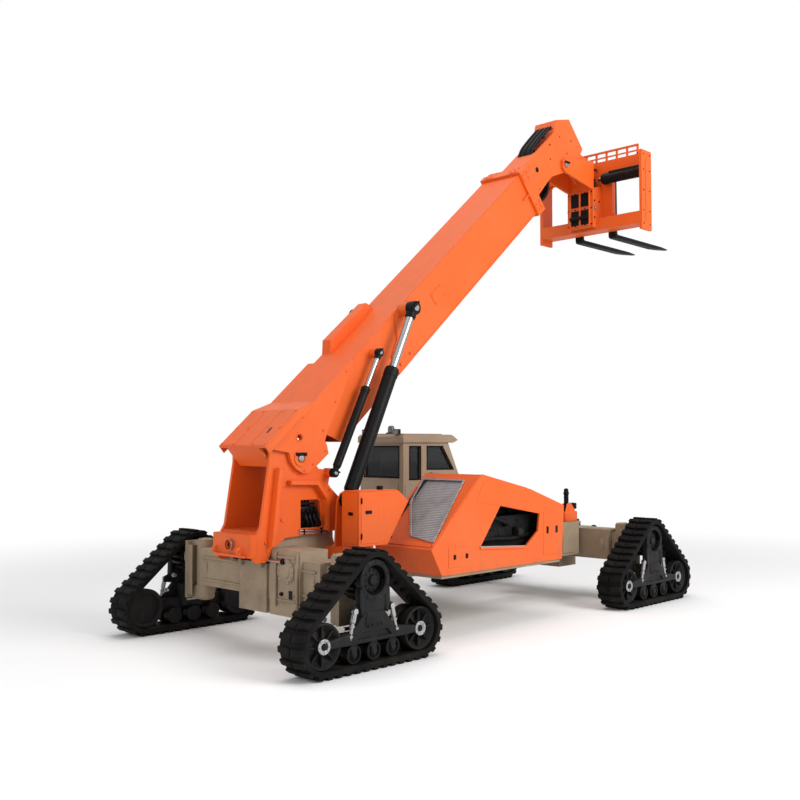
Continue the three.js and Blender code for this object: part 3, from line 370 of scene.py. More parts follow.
makers = {"enamel": enamel, "chrome": chrome, "rubber": rubber, "mesh": wovenMesh,
          "glass": glass, "cloth": cloth}
materials = {name: makers[finish["kind"]](name, finish) for name, finish in finishes.items()}
for part in record["subparts"]:
    skin = nodes[part["node"]].data.materials
    skin.clear()
    skin.append(materials[part["material_slot"]])
print("materials are on the frame")


# Ways of modelling that many pieces share.
def pick(*pieces):
    deselectAll()
    for piece in pieces:
        piece.select_set(True)
    bpy.context.view_layer.objects.active = pieces[0]


def applyPlace(piece):
    pick(piece)
    bpy.ops.object.transform_apply(location=True, rotation=True, scale=True)


def applyModifiers(piece):
    pick(piece)
    for modifier in list(piece.modifiers):
        bpy.ops.object.modifier_apply(modifier=modifier.name)


def bevelEdges(piece, width, segments=2, angle=30):
    edges = piece.modifiers.new("edges", "BEVEL")
    edges.width = width
    edges.segments = segments
    edges.angle_limit = radians(angle)
    applyModifiers(piece)
    return piece


def addBox(low, high, bevel=0.0, segments=2):
    deselectAll()
    bpy.ops.mesh.primitive_cube_add(size=1, location=[(a + b) / 2 for a, b in zip(low, high)])
    box = bpy.context.object
    box.scale = [abs(b - a) for a, b in zip(low, high)]
    applyPlace(box)
    return bevelEdges(box, bevel, segments) if bevel else box


# A solid of revolution about z, from a profile of (radius, height).
def spun(profile, steps=32):
    deselectAll()
    bpy.ops.mesh.primitive_plane_add(size=0.1)
    piece = bpy.context.object
    bpy.ops.object.mode_set(mode="EDIT")
    bpy.ops.mesh.select_all(action="SELECT")
    bpy.ops.mesh.merge(type="CENTER")
    radius, height = profile[0]
    bpy.ops.transform.translate(value=(radius, 0, height))
    for nextRadius, nextHeight in profile[1:]:
        step = (nextRadius - radius, 0, nextHeight - height)
        bpy.ops.mesh.extrude_region_move(TRANSFORM_OT_translate={"value": step})
        radius, height = nextRadius, nextHeight
    bpy.ops.mesh.select_all(action="SELECT")
    bpy.ops.mesh.spin(steps=steps, angle=2 * pi, center=(0, 0, 0), axis=(0, 0, 1))
    bpy.ops.mesh.select_all(action="SELECT")
    bpy.ops.mesh.remove_doubles(threshold=1e-5)
    bpy.ops.mesh.normals_make_consistent(inside=False)
    bpy.ops.object.mode_set(mode="OBJECT")
    return piece


# A round bar along z, its ends bevelled by so much across and along.
def roundBar(radius, low, high, steps=20, edge=None):
    if not edge:
        return spun([(0, low), (radius, low), (radius, high), (0, high)], steps)
    across, along = edge
    return spun([(0, low), (radius - across, low), (radius, low + along), (radius, high - along),
        (radius - across, high), (0, high)], steps)


def onCircle(radius, count, height, phase=0.0):  # places round z
    turns = [phase + 2 * pi * k / count for k in range(count)]
    return [(radius * cos(a), radius * sin(a), height) for a in turns]


def discard(*pieces):
    for piece in pieces:
        bpy.data.objects.remove(piece)


def facingOut(place, direction):  # z turned towards the direction
    turn = Vector(direction).to_track_quat("Z", "Y").to_matrix().to_4x4()
    return Matrix.Translation(place) @ turn


def standAt(piece, place, direction=(0, 0, 1)):
    piece.matrix_world = facingOut(place, direction)
    applyPlace(piece)
    return piece


def copied(piece, matrix=Matrix()):
    twin = piece.copy()
    twin.data = piece.data.copy()
    bpy.context.collection.objects.link(twin)
    twin.matrix_world = matrix
    applyPlace(twin)
    return twin


def joined(pieces):
    pick(*pieces)
    if len(pieces) > 1:
        bpy.ops.object.join()
    return pieces[0]


# A flat outline of points, raised along a direction.
def plate(points, rise, bevel=0.0, segments=2):
    deselectAll()
    bpy.ops.mesh.primitive_circle_add(vertices=len(points), fill_type="NGON")
    piece = bpy.context.object
    for vertex, place in zip(piece.data.vertices, points):
        vertex.co = place
    bpy.ops.object.mode_set(mode="EDIT")
    bpy.ops.mesh.select_all(action="SELECT")
    bpy.ops.mesh.extrude_region_move(TRANSFORM_OT_translate={"value": rise})
    bpy.ops.mesh.select_all(action="SELECT")
    bpy.ops.mesh.normals_make_consistent(inside=False)
    bpy.ops.object.mode_set(mode="OBJECT")
    return bevelEdges(piece, bevel, segments) if bevel else piece


def carve(piece, *tools):
    for tool in tools:
        cutter = piece.modifiers.new("cut", "BOOLEAN")
        cutter.operation = "DIFFERENCE"
        cutter.object = tool
        cutter.solver = "EXACT"
        applyModifiers(piece)
        discard(tool)
    return piece


# A bent pipe through points.
def pipe(points, radius, sides=3, order=3):
    deselectAll()
    bpy.ops.curve.primitive_nurbs_path_add()
    run = bpy.context.object
    run.data.splines.clear()
    spline = run.data.splines.new("NURBS")
    spline.points.add(len(points) - 1)
    for knot, place in zip(spline.points, points):
        knot.co = (*place, 1)
    spline.order_u = order
    spline.use_endpoint_u = True
    spline.resolution_u = 6
    run.location = (0, 0, 0)
    run.data.bevel_depth = radius
    run.data.bevel_resolution = sides
    run.data.use_fill_caps = True
    bpy.ops.object.convert(target="MESH")
    run = bpy.context.object
    applyPlace(run)
    return run


# Names, finishes and rides a piece, or a list of parts joined to one piece.
def finish(pieces, name, slot, body="chassis", instead=()):
    piece = joined(pieces) if isinstance(pieces, list) else pieces
    piece.name = name
    piece.data.name = name
    piece.data.materials.clear()
    piece.data.materials.append(materials[slot])
    pick(piece)
    bpy.ops.object.shade_smooth_by_angle(angle=radians(35))
    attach(piece, body)
    if instead:
        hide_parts(*instead)
    return piece


# A hexagon bolt head on its washer, standing on z = 0.
def boltHead(size):
    washer = spun([(0, 0), (size * 1.15, 0), (size * 1.15, size * 0.22), (0, size * 0.22)], 16)
    deselectAll()
    bpy.ops.mesh.primitive_cylinder_add(vertices=6, radius=size, depth=size * 0.75,
        location=(0, 0, size * 0.55))
    head = bpy.context.object
    applyPlace(head)
    bevelEdges(head, size * 0.12, 1)
    return joined([washer, head])


def boltsAt(size, places, direction=(0, 0, 1)):
    first = boltHead(size)
    made = [copied(first, facingOut(place, direction)) for place in places]
    discard(first)
    return joined(made)


def ringPlaces(centre, radius, count, phase=0.0):  # in a plane across y
    x, y, z = centre
    turns = [phase + 2 * pi * k / count for k in range(count)]
    return [(x + radius * cos(a), y, z + radius * sin(a)) for a in turns]


# Where things are.
def corners(*names):
    boxes = [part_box(name) for name in names]
    low = Vector([min(box[0][k] for box in boxes) for k in range(3)])
    high = Vector([max(box[1][k] for box in boxes) for k in range(3)])
    return low, high


def middleOf(*names):
    low, high = corners(*names)
    return (low + high) / 2


middleX = middleOf("front_axle", "rear_axle").x
boomTurn = radians(41)
pivotPin = middleOf("boom_pivot_pin")


def fromBoom(along, side, across):  # from the boom's pivot, in the boom's own directions
    return (pivotPin.x + along * cos(boomTurn) - across * sin(boomTurn), side,
        pivotPin.z + along * sin(boomTurn) + across * cos(boomTurn))


def moved(piece, matrix):
    piece.matrix_world = matrix @ piece.matrix_world
    applyPlace(piece)
    return piece


def toBoom(piece):  # takes a piece built about the pivot, boom along x, to its place
    return moved(piece, Matrix.Translation(fromBoom(0, 0, 0)) @ Matrix.Rotation(-boomTurn, 4, "Y"))


# Track units, built about the unit's middle with its outer side towards -y.
track = {
    "spacing": 1.484,  # between the two idlers
    "corner": 0.347,  # from a wheel's middle to the lugs' tips
    "height": 1.32,
    "lug": 0.03,
    "carcass": 0.062,
    "width": 0.4,
    "lugs": 40,
    "chevron": 0.022,  # how far each lug's outer end trails its inner end
    "wheelWidth": 0.3,
    "roller": 0.108,
    "rollerGap": 0.3,
}
wheelMiddles = [Vector((-track["spacing"] / 2, 0, track["corner"])),
    Vector((track["spacing"] / 2, 0, track["corner"])),
    Vector((0, 0, track["height"] - track["corner"]))]
bandOut = track["corner"] - track["lug"]
bandIn = bandOut - track["carcass"]


def beltLegs():  # a straight leg and then a corner, three times: start, normal, turn, length
    legs = []
    for k, start in enumerate(wheelMiddles):
        end, after = wheelMiddles[(k + 1) % 3], wheelMiddles[(k + 2) % 3]
        heading = atan2(end.z - start.z, end.x - start.x)
        nextHeading = atan2(after.z - end.z, after.x - end.x)
        turn = (nextHeading - heading) % (2 * pi)
        legs.append((start, heading - pi / 2, 0, (end - start).length))
        legs.append((end, heading - pi / 2, turn, turn * bandOut))
    return legs


legs = beltLegs()
beltLength = sum(leg[3] for leg in legs)


def onBelt(distance):  # a frame on the belt: x along its run, z out
    rest = distance % beltLength
    for start, normal, turn, length in legs:
        if rest <= length:
            break
        rest -= length
    angle = normal + turn * rest / length
    out = Vector((cos(angle), 0, sin(angle)))
    run = Vector((-out.z, 0, out.x))
    place = start + out * bandOut + (Vector() if turn else run * rest)
    turned = Matrix((run, Vector((0, -1, 0)), out)).transposed()
    return Matrix.Translation(place) @ turned.to_4x4()


def beltBand():
    half = track["width"] / 2
    loop = [(bandIn, -half + 0.006), (bandIn + 0.006, -half), (bandOut - 0.008, -half),
        (bandOut, -half + 0.008), (bandOut, half - 0.008), (bandOut - 0.008, half),
        (bandIn + 0.006, half), (bandIn, half - 0.006)]
    start, normal, turn, length = legs[0]
    out = Vector((cos(normal), 0, sin(normal)))
    deselectAll()
    bpy.ops.mesh.primitive_circle_add(vertices=len(loop), fill_type="NOTHING")
    band = bpy.context.object
    for vertex, (radius, y) in zip(band.data.vertices, loop):
        vertex.co = start + out * radius + Vector((0, y, 0))
    bpy.ops.object.mode_set(mode="EDIT")
    bpy.ops.mesh.select_all(action="SELECT")
    for start, normal, turn, length in legs:
        if turn:
            bpy.ops.mesh.spin(steps=round(turn / radians(7)), angle=turn, center=start,
                axis=(0, 1, 0))
        else:
            along = Vector((-sin(normal), 0, cos(normal))) * length
            bpy.ops.mesh.extrude_region_move(TRANSFORM_OT_translate={"value": along})
    bpy.ops.mesh.select_all(action="SELECT")
    bpy.ops.mesh.remove_doubles(threshold=1e-4)
    bpy.ops.mesh.normals_make_consistent(inside=False)
    bpy.ops.object.mode_set(mode="OBJECT")
    return band


def beltLug():  # a pair of bars that lean away from the middle
    half = track["width"] / 2
    bars = []
    for side in (-1, 1):
        foot = [(-0.036, 0.006 * side, -0.003), (0.046, 0.006 * side, -0.003),
            (0.046 - track["chevron"], half * 0.985 * side, -0.003),
            (-0.040 - track["chevron"] * 0.2, half * 0.985 * side, -0.003)]
        bars.append(plate(foot, (0, 0, track["lug"] + 0.003), 0.008))
    return joined(bars)


def beltTooth():  # the inner guide that runs in the wheels' grooves
    return addBox((-0.024, -0.03, -track["carcass"] - 0.04),
        (0.024, 0.03, -track["carcass"] + 0.004), 0.01, 1)


def makeBelt():
    band = beltBand()
    lug, tooth = beltLug(), beltTooth()
    pitch = beltLength / track["lugs"]
    places = [onBelt((k + 0.5) * pitch) for k in range(track["lugs"])]
    pieces = [band] + [copied(form, place) for form in (lug, tooth) for place in places]
    discard(lug, tooth)
    return joined(pieces)


unitFrame = {  # the casting of one track unit
    "plate": (-0.17, -0.08),  # the casting's outer and inner faces
    "hub": 0.228,
    "keel": 0.035,
    "boltRing": 0.069,
}


def lyingAcross(piece, x, y, z):  # z of the piece points out of the unit, towards -y
    return standAt(piece, (x, y, z), (0, -1, 0))


def makeIdler():  # about its own middle, axle along z, outer side up
    half = track["wheelWidth"] / 2
    rim = bandIn - 0.004
    profile = [(0, half - 0.06), (0.05, half - 0.06), (0.105, half - 0.075), (0.16, half - 0.085),
        (0.205, half - 0.055), (0.225, half - 0.006), (0.232, half), (rim - 0.008, half),
        (rim, half - 0.008), (rim, 0.05), (rim - 0.045, 0.038), (rim - 0.045, -0.038),
        (rim, -0.05), (rim, 0.008 - half), (rim - 0.008, -half), (0.2, -half), (0.19, 0.05 - half),
        (0.06, 0.05 - half), (0, 0.05 - half)]
    wheel = spun(profile, 40)
    rib = addBox((0.09, -0.008, half - 0.092), (0.215, 0.008, half - 0.025), 0.004, 1)
    ribs = [copied(rib, Matrix.Rotation(k * pi / 4, 4, "Z")) for k in range(8)]
    discard(rib)
    return joined([wheel] + ribs)


def makeHubRing():  # the bright flange on an idler's hub
    half = track["wheelWidth"] / 2
    flange = spun([(0.04, half - 0.06), (0.086, half - 0.06), (0.086, half + 0.006),
        (0.081, half + 0.013), (0.056, half + 0.013), (0.05, half + 0.004), (0.04, half + 0.004)],
        36)
    bolts = boltsAt(0.0085, onCircle(unitFrame["boltRing"], 8, half + 0.013))
    return joined([flange, bolts])


def makeHubCap():
    half = track["wheelWidth"] / 2
    return spun([(0, half + 0.018), (0.024, half + 0.016), (0.034, half + 0.006),
        (0.04, half - 0.02), (0.04, half - 0.06), (0, half - 0.06)], 28)


def makeRoller():
    half = track["wheelWidth"] / 2
    size = track["roller"]
    profile = [(0, half - 0.012), (0.038, half - 0.012), (0.044, half - 0.022),
        (0.07, half - 0.03), (0.08, half - 0.006), (0.086, half), (size - 0.008, half),
        (size, half - 0.008), (size, 0.04), (size - 0.03, 0.034), (size - 0.03, -0.034),
        (size, -0.04), (size, 0.008 - half), (size - 0.008, -half), (0, -half)]
    return spun(profile, 32)


def makeRollerCap():
    half = track["wheelWidth"] / 2
    cap = spun([(0, half + 0.012), (0.03, half + 0.01), (0.036, half), (0.042, half - 0.03),
        (0, half - 0.03)], 24)
    nuts = boltsAt(0.007, onCircle(0.058, 6, half - 0.03))
    return joined([cap, nuts])


def makeSprocket():  # drive wheel with bars that the belt's teeth run between
    half = track["wheelWidth"] / 2
    rim = bandIn - 0.004
    discs = [spun([(0.1, face), (rim - 0.05, face), (rim - 0.05, face + 0.03), (0.1, face + 0.03)],
        40) for face in (-half, 0.04)]
    core = roundBar(0.12, -half, 0.06, 28)
    bar = addBox((rim - 0.075, -0.02, -half), (rim - 0.004, 0.02, 0.06), 0.01)
    bars = [copied(bar, Matrix.Rotation(k * pi / 9, 4, "Z")) for k in range(18)]
    discard(bar)
    return joined(discs + [core] + bars)


def makeCasting():
    top = wheelMiddles[2].z
    out, back = unitFrame["plate"]
    reach = track["spacing"] / 2

    def shape(points, low, high, bevel=0.012):
        return plate([(x, high, z) for x, z in points], (0, low - high, 0), bevel)

    body = shape([(-0.222, top), (-0.2, 0.8), (-0.155, 0.63), (-0.33, 0.44), (-reach, 0.385),
        (-reach, 0.31), (-0.46, 0.305), (0.46, 0.305), (reach, 0.31), (reach, 0.385), (0.33, 0.44),
        (0.155, 0.63), (0.2, 0.8), (0.222, top)], out + 0.012, back)
    arch = lyingAcross(spun([(0.166, 0), (unitFrame["hub"] - 0.006, 0), (unitFrame["hub"], 0.006),
        (unitFrame["hub"], 0.082), (unitFrame["hub"] - 0.014, 0.09), (0.176, 0.09), (0.166, 0.08)],
        40), 0, back, top)
    pocket = lyingAcross(roundBar(0.166, -0.02, 0.2, 36), 0, back, top)
    body = carve(body, pocket)
    for x in (-0.105, 0.105):
        slot = shape([(x - 0.013, 0.52), (x + 0.013, 0.52), (x + 0.013, 0.6), (x - 0.013, 0.6)],
            out - 0.02, back + 0.045, 0)
        body = carve(body, slot)
    recess = shape([(-0.27, 0.35), (0.27, 0.35), (0.2, 0.425), (-0.2, 0.425)], out - 0.02,
        out + 0.035, 0)
    body = carve(body, recess)
    apron = shape([(-0.125, 0.64), (0.125, 0.64), (0.15, 0.5), (0.1, 0.46), (-0.1, 0.46),
        (-0.15, 0.5)], out, out + 0.03, 0.01)
    brows = [shape([(s * 0.155, 0.84), (s * 0.23, 0.9), (s * 0.235, 0.72), (s * 0.205, 0.6),
        (s * 0.165, 0.64)], out + 0.002, back, 0.01) for s in (-1, 1)]
    hangers = [shape([(k * 0.3 - 0.05, 0.36), (k * 0.3 + 0.05, 0.36), (k * 0.3 + 0.035, 0.16),
        (k * 0.3, 0.145), (k * 0.3 - 0.035, 0.16)], -0.148, -0.118, 0.006) for k in (-1, 0, 1)]
    keel = addBox((-reach, -unitFrame["keel"], 0.27), (reach, unitFrame["keel"], 0.42), 0.012)
    spine = addBox((-0.16, -0.1, 0.3), (0.16, 0.1, 0.6), 0.02)
    bolts = boltsAt(0.012, ringPlaces((0, out + 0.002, top), 0.2, 10, 0.3), (0, -1, 0))
    lower = boltsAt(0.014, [(x, out, 0.49) for x in (-0.1, -0.04, 0.04, 0.1)], (0, -1, 0))
    return joined([body, arch, apron, keel, spine, bolts, lower] + brows + hangers)


def makeDriveHub():  # the drive's flange and motor nose, deep in the casting's pocket
    top = wheelMiddles[2].z
    nose = spun([(0, 0.062), (0.05, 0.06), (0.06, 0.05), (0.064, 0.03), (0.1, 0.022),
        (0.128, 0.02), (0.132, 0.014), (0.132, -0.06), (0, -0.06)], 36)
    ring = boltsAt(0.012, onCircle(0.106, 10, 0.022))
    return lyingAcross(joined([nose, ring]), 0, unitFrame["plate"][1] - 0.005, top)


def makeTensioner(side):  # its rod, eyes and lock nuts, down to an idler's carrier
    y = unitFrame["plate"][0] + 0.03
    start, end = Vector((0.285 * side, y, 0.66)), Vector((0.365 * side, y, 0.36))
    way = (end - start).normalized()
    length = (end - start).length
    rod = standAt(roundBar(0.019, 0, length), start, way)
    sleeve = standAt(spun([(0, 0.02), (0.029, 0.02), (0.029, 0.12), (0.023, 0.126), (0, 0.126)],
        20), start, way)
    nuts = [boltsAt(0.03, [start + way * d], way) for d in (0.15, length - 0.05)]
    eye = lyingAcross(roundBar(0.036, -0.022, 0.022, 24, (0.004, 0.006)), *start)
    return joined([rod, sleeve, eye] + nuts)


def makeTensionerMount(side):
    y = unitFrame["plate"][0] + 0.03
    arm = plate([(0.19 * side, y + 0.03, 0.75), (0.32 * side, y + 0.03, 0.69),
        (0.32 * side, y + 0.03, 0.62), (0.17 * side, y + 0.03, 0.6)], (0, -0.02, 0), 0.006)
    foot = addBox((0.33 * side - 0.03, y - 0.02, 0.34), (0.4 * side + 0.02, y + 0.03, 0.4), 0.008)
    return joined([arm, foot])


def makeInnerFittings(side):  # bright nipples by the belt and half of the cross bar
    y = track["wheelWidth"] / 2
    nipple = spun([(0, 0.06), (0.014, 0.06), (0.018, 0.05), (0.018, 0.02), (0.028, 0.018),
        (0.028, 0), (0, 0)], 20)
    made = [standAt(copied(nipple), (side * x, y, z), (0, 1, 0))
        for x, z in ((0.46, 0.56), (0.34, 0.74))]
    discard(nipple)
    half = standAt(roundBar(0.022, 0, 0.16), (0, y + 0.03, 0.41), (side, 0, 0))
    return made + [half]


def makeUnit():  # every piece of a unit with the slot it is finished in
    groups = {"track_rubber": [makeBelt()], "cast_grey": [], "bright_steel": [], "dark_steel": []}
    idler, flange, cap = makeIdler(), makeHubRing(), makeHubCap()
    across = Matrix.Rotation(pi / 2, 4, "X")
    for middle in wheelMiddles[:2]:
        turn = Matrix.Translation(middle) @ across
        groups["cast_grey"].append(copied(idler, turn))
        groups["bright_steel"].append(copied(flange, turn))
        groups["dark_steel"].append(copied(cap, turn))
    roller, rollerCap = makeRoller(), makeRollerCap()
    height = track["lug"] + track["carcass"] + track["roller"]
    for k in (-1, 0, 1):
        turn = Matrix.Translation((k * track["rollerGap"], 0, height)) @ across
        groups["dark_steel"].append(copied(roller, turn))
        groups["cast_grey"].append(copied(rollerCap, turn))
    discard(idler, flange, cap, roller, rollerCap)
    groups["cast_grey"] += [makeCasting(), makeDriveHub()]
    hub = Matrix.Translation(wheelMiddles[2])
    groups["dark_steel"].append(moved(makeSprocket(), hub @ across))
    for side in (-1, 1):
        groups["bright_steel"].append(makeTensioner(side))
        groups["cast_grey"].append(makeTensionerMount(side))
        groups["bright_steel"] += makeInnerFittings(side)
    return {slot: joined(pieces) for slot, pieces in groups.items()}


def placeUnits():
    forms = makeUnit()
    titles = {"track_rubber": "belt", "cast_grey": "track_frame", "bright_steel": "track_fittings",
        "dark_steel": "track_wheels"}
    for corner in ("rear_right", "front_right", "rear_left", "front_left"):
        middle = middleOf(corner + "_belt")
        place = Matrix.Translation((middle.x, middle.y, 0))
        if middle.y > 0:
            place = place @ Matrix.Rotation(pi, 4, "Z")
        for slot, form in forms.items():
            piece = copied(form, place)
            instead = {"track_rubber": [corner + "_belt"],
                "cast_grey": [corner + "_undercarriage"]}.get(slot, ())
            finish(piece, corner + "_" + titles[slot] + "_look", slot, corner + "_track_unit",
                instead)
    discard(*forms.values())
    print("track units are done")


placeUnits()


# Hydraulic cylinders, each built along z from its base pin.
cylinders = {  # radii, the barrel's length, half widths of the eyes, and the rod's pin
    "lift": {"radius": 0.1, "rod": 0.055, "barrel": 1.9, "eye": 0.095, "half": 0.06,
             "baseHalf": 0.06, "top": (2.737, 0.297)},
    "levelling": {"radius": 0.06, "rod": 0.034, "barrel": 1.24, "eye": 0.058, "half": 0.036,
                  "baseHalf": 0.036, "top": (1.876, 0.194)},
    "tilt": {"radius": 0.07, "rod": 0.038, "barrel": 0.64, "eye": 0.06, "half": 0.0595,
             "baseHalf": 0.1695, "top": (8.132, 0)},
}
jointOf = {joint["name"]: joint for joint in frame["joints"]}


def eyeRing(eye, half):  # a pin's eye, its axle along y
    ring = spun([(eye * 0.5, -half), (eye - 0.006, -half), (eye, 0.006 - half),
        (eye, half - 0.006), (eye - 0.006, half), (eye * 0.5, half), (eye * 0.5, -half)], 28)
    return standAt(ring, (0, 0, 0), (0, -1, 0))


def makeRam(kind, ending):
    spec, name = cylinders[kind], kind + "_cylinder" + ending
    barrelBody, rodBody = kind + "_barrel" + ending, kind + "_rod" + ending
    base = Vector(jointOf[barrelBody + "_pivot"]["pos_m"])
    top = Vector(fromBoom(spec["top"][0], base.y, spec["top"][1]))
    way = top - base
    length, size, rod, end = way.length, spec["radius"], spec["rod"], spec["barrel"]
    neck, eye = size * 0.55, spec["eye"]
    barrel = spun([(0, eye * 0.6), (neck, eye * 0.6), (neck * 1.12, eye * 0.9),
        (size - 0.012, eye + 0.03), (size - 0.006, eye + 0.036), (size - 0.006, end - size * 1.3),
        (size, end - size * 1.28), (size, end - size * 0.35), (size - 0.006, end - size * 0.33),
        (size - 0.008, end - 0.012), (size - 0.018, end - 0.002), (rod + 0.008, end),
        (rod + 0.001, end - 0.006), (rod + 0.001, end - 0.03)], 36)
    lowerPort = addBox((size * -0.3, size * 0.7, eye + 0.09),
        (size * 0.3, size, eye + 0.09 + size), size * 0.06)
    upperPort = addBox((size * -0.3, size * 0.7, end - size * 2.5),
        (size * 0.3, size, end - size * 1.7), size * 0.06)
    body = joined([barrel, eyeRing(eye, spec["baseHalf"]), lowerPort, upperPort])
    shaft = spun([(rod, end - 0.03), (rod, length - eye * 1.15), (rod * 0.9, length - eye * 0.8)],
        28)
    collar = spun([(rod * 0.98, length - eye * 1.7), (rod * 1.3, length - eye * 1.6),
        (rod * 1.35, length - eye * 0.9), (0, length - eye * 0.8)], 28)
    tip = moved(eyeRing(eye, spec["half"]), Matrix.Translation((0, 0, length)))
    head = joined([tip, collar])
    # z lies along the barrel, and the pins stay across the machine
    aim = Matrix.Translation(base) @ Matrix.Rotation(atan2(way.x, way.z), 4, "Y")
    for piece in (body, shaft, head):
        moved(piece, aim)
    finish(body, name + "_barrel_look", "dark_steel", barrelBody, [name + "_barrel"])
    finish(shaft, name + "_rod_look", "bright_steel", rodBody, [name + "_rod"])
    finish(head, name + "_rod_eye", "dark_steel", rodBody)


for kind, ending in (("lift", "_left"), ("lift", "_right"), ("levelling", ""), ("tilt", "")):
    makeRam(kind, ending)
print("cylinders are done")


# Places on the machine: x from the middle between the axles, z from the ground.
def onMachine(x, y, z):
    return (x + middleX, y, z)


def machineBox(low, high, bevel=0.0, segments=2):
    return addBox(onMachine(*low), onMachine(*high), bevel, segments)


def sidePlate(points, yLow, yHigh, bevel=0.0, segments=2):
    return plate([onMachine(x, yLow, z) for x, z in points], (0, yHigh - yLow, 0), bevel, segments)


def machinePipe(points, radius, sides=3):
    return pipe([onMachine(*place) for place in points], radius, sides)


def pinHead(radius, reach):  # a pin's end with its rounded edge, standing on z = 0
    return spun([(0, 0), (radius, 0), (radius, reach - 0.004), (radius - 0.004, reach),
        (0, reach)], 28)


# A keeper plate with its two bolts, for a pin's end that looks towards -y.
def keeper(half, thick, low, high, edge, bolt, boltOut, boltUp):
    bar = addBox((-half, -thick, low), (half, thick, high), edge, 1)
    return joined([bar, boltsAt(bolt, [(s * boltOut, -thick, boltUp) for s in (-1, 1)],
        (0, -1, 0))])


# A cross pin between yLow and yHigh, with a keeper plate and its bolts on the outer end.
def crossPin(place, yLow, yHigh, radius, keeperTurn):
    x, z = place[0], place[2]
    middle = (yLow + yHigh) / 2
    side = -1 if middle < 0 else 1
    outer = min(yLow, yHigh) if side < 0 else max(yLow, yHigh)
    shaft = standAt(roundBar(radius, 0, abs(yHigh - yLow), 28, (0.004, 0.004)),
        (x, min(yLow, yHigh), z), (0, 1, 0))
    lock = keeper(radius * 1.9, 0.006, radius * 0.55, radius * 1.25, 0.002, radius * 0.2,
        radius * 1.9 * 0.75, radius * 0.9)
    turn = Matrix.Rotation(keeperTurn, 4, "Y")
    if side > 0:
        turn = turn @ Matrix.Rotation(pi, 4, "Z")
    moved(lock, Matrix.Translation((x, outer + side * 0.002, z)) @ turn)
    return shaft, lock


# Axles and the steered knuckles.
axleLook = {
    "coverRadius": 0.215,
    "coverBolts": 16,
    "middle": 0.78,  # height of the final drive's middle
    "caseHalf": 0.24,  # from the axle's middle to the case's flat faces
    "armHalf": 0.19,
    "pinBolts": 6,
}


def finalDrive(end):  # the domed cover on the case's outer face, towards the machine's end
    radius = axleLook["coverRadius"]
    dome = spun([(0, 0.085), (0.055, 0.082), (0.1, 0.068), (0.135, 0.044), (0.15, 0.026),
        (radius - 0.006, 0.024), (radius, 0.018), (radius, 0), (0, 0)], 48)
    ring = boltsAt(0.011, onCircle(radius - 0.026, axleLook["coverBolts"], 0.024))
    plug = spun([(0, 0.098), (0.018, 0.098), (0.022, 0.094), (0.022, 0.07), (0, 0.07)], 6)
    return standAt(joined([dome, ring, plug]), (end * axleLook["caseHalf"], 0, axleLook["middle"]),
        (end, 0, 0))


def axleTrim(end):  # about the axle's middle
    half = axleLook["armHalf"]
    pieces = [finalDrive(1)]
    for side in (-1, 1):
        # clamp flange where the arm leaves the case
        pieces.append(addBox((-0.215, 0.272 * side, 0.615), (0.215, 0.302 * side, 1.085), 0.012))
        pieces.append(boltsAt(0.014, [(x, 0.302 * side, z) for x in (-0.19, 0.19)
            for z in (0.66, 0.76, 0.94, 1.05)], (0, side, 0)))
        for z in (0.72, 1.0):  # ribs along the arm
            pieces.append(addBox((end * half, 0.31 * side, z - 0.014),
                (end * (half + 0.022), 1.12 * side, z + 0.014), 0.005, 1))
        brake = spun([(0, 0), (0.205, 0), (0.212, 0.008), (0.212, 0.07), (0.2, 0.08), (0, 0.08)],
            40)
        pieces.append(standAt(brake, (0, 1.02 * side, 0.875), (0, side, 0)))
        pieces.append(boltsAt(0.011, ringPlaces((0, 1.1 * side, 0.875), 0.19, 12, 0.1),
            (0, side, 0)))
    return joined(pieces)


def steeringCylinder(end):  # across the axle, on its outer face
    x = end * (axleLook["armHalf"] + 0.075)
    z = 1.09
    barrel = standAt(spun([(0, -0.33), (0.042, -0.33), (0.046, -0.325), (0.046, -0.27),
        (0.04, -0.265), (0.04, 0.265), (0.046, 0.27), (0.046, 0.325), (0.042, 0.33), (0, 0.33)],
        24), (x, 0, z), (0, 1, 0))
    rod = standAt(roundBar(0.021, -0.62, 0.62), (x, 0, z), (0, 1, 0))
    saddles = [addBox((end * axleLook["armHalf"] - 0.02 * end, s * 0.2 - 0.03, z - 0.1),
        (x + 0.03 * end, s * 0.2 + 0.03, z + 0.03), 0.008) for s in (-1, 1)]
    ends = [standAt(roundBar(0.038, -0.03, 0.03, 20, (0.004, 0.01)), (x, 0.62 * s, z), (0, s, 0))
        for s in (-1, 1)]
    return joined([barrel] + ends), rod, joined(saddles)


def placeAxles():
    for name, end in (("front_axle", 1), ("rear_axle", -1)):
        shift = Matrix.Translation((middleOf(name).x, 0, 0))
        finish(moved(axleTrim(end), shift), name + "_trim", "tan_paint")
        barrel, rod, saddles = steeringCylinder(end)
        finish(moved(barrel, shift), name + "_steering_barrel", "dark_steel")
        finish(moved(rod, shift), name + "_steering_rod", "bright_steel")
        finish(moved(saddles, shift), name + "_steering_mount", "tan_paint")


dropBox = {  # beside the rear axle's case, on the right
    "panel": (-0.83, -0.5),
    "heights": (0.62, 1.16),
    "flange": (-0.655, 0.98, 0.15),  # across, up, radius
}


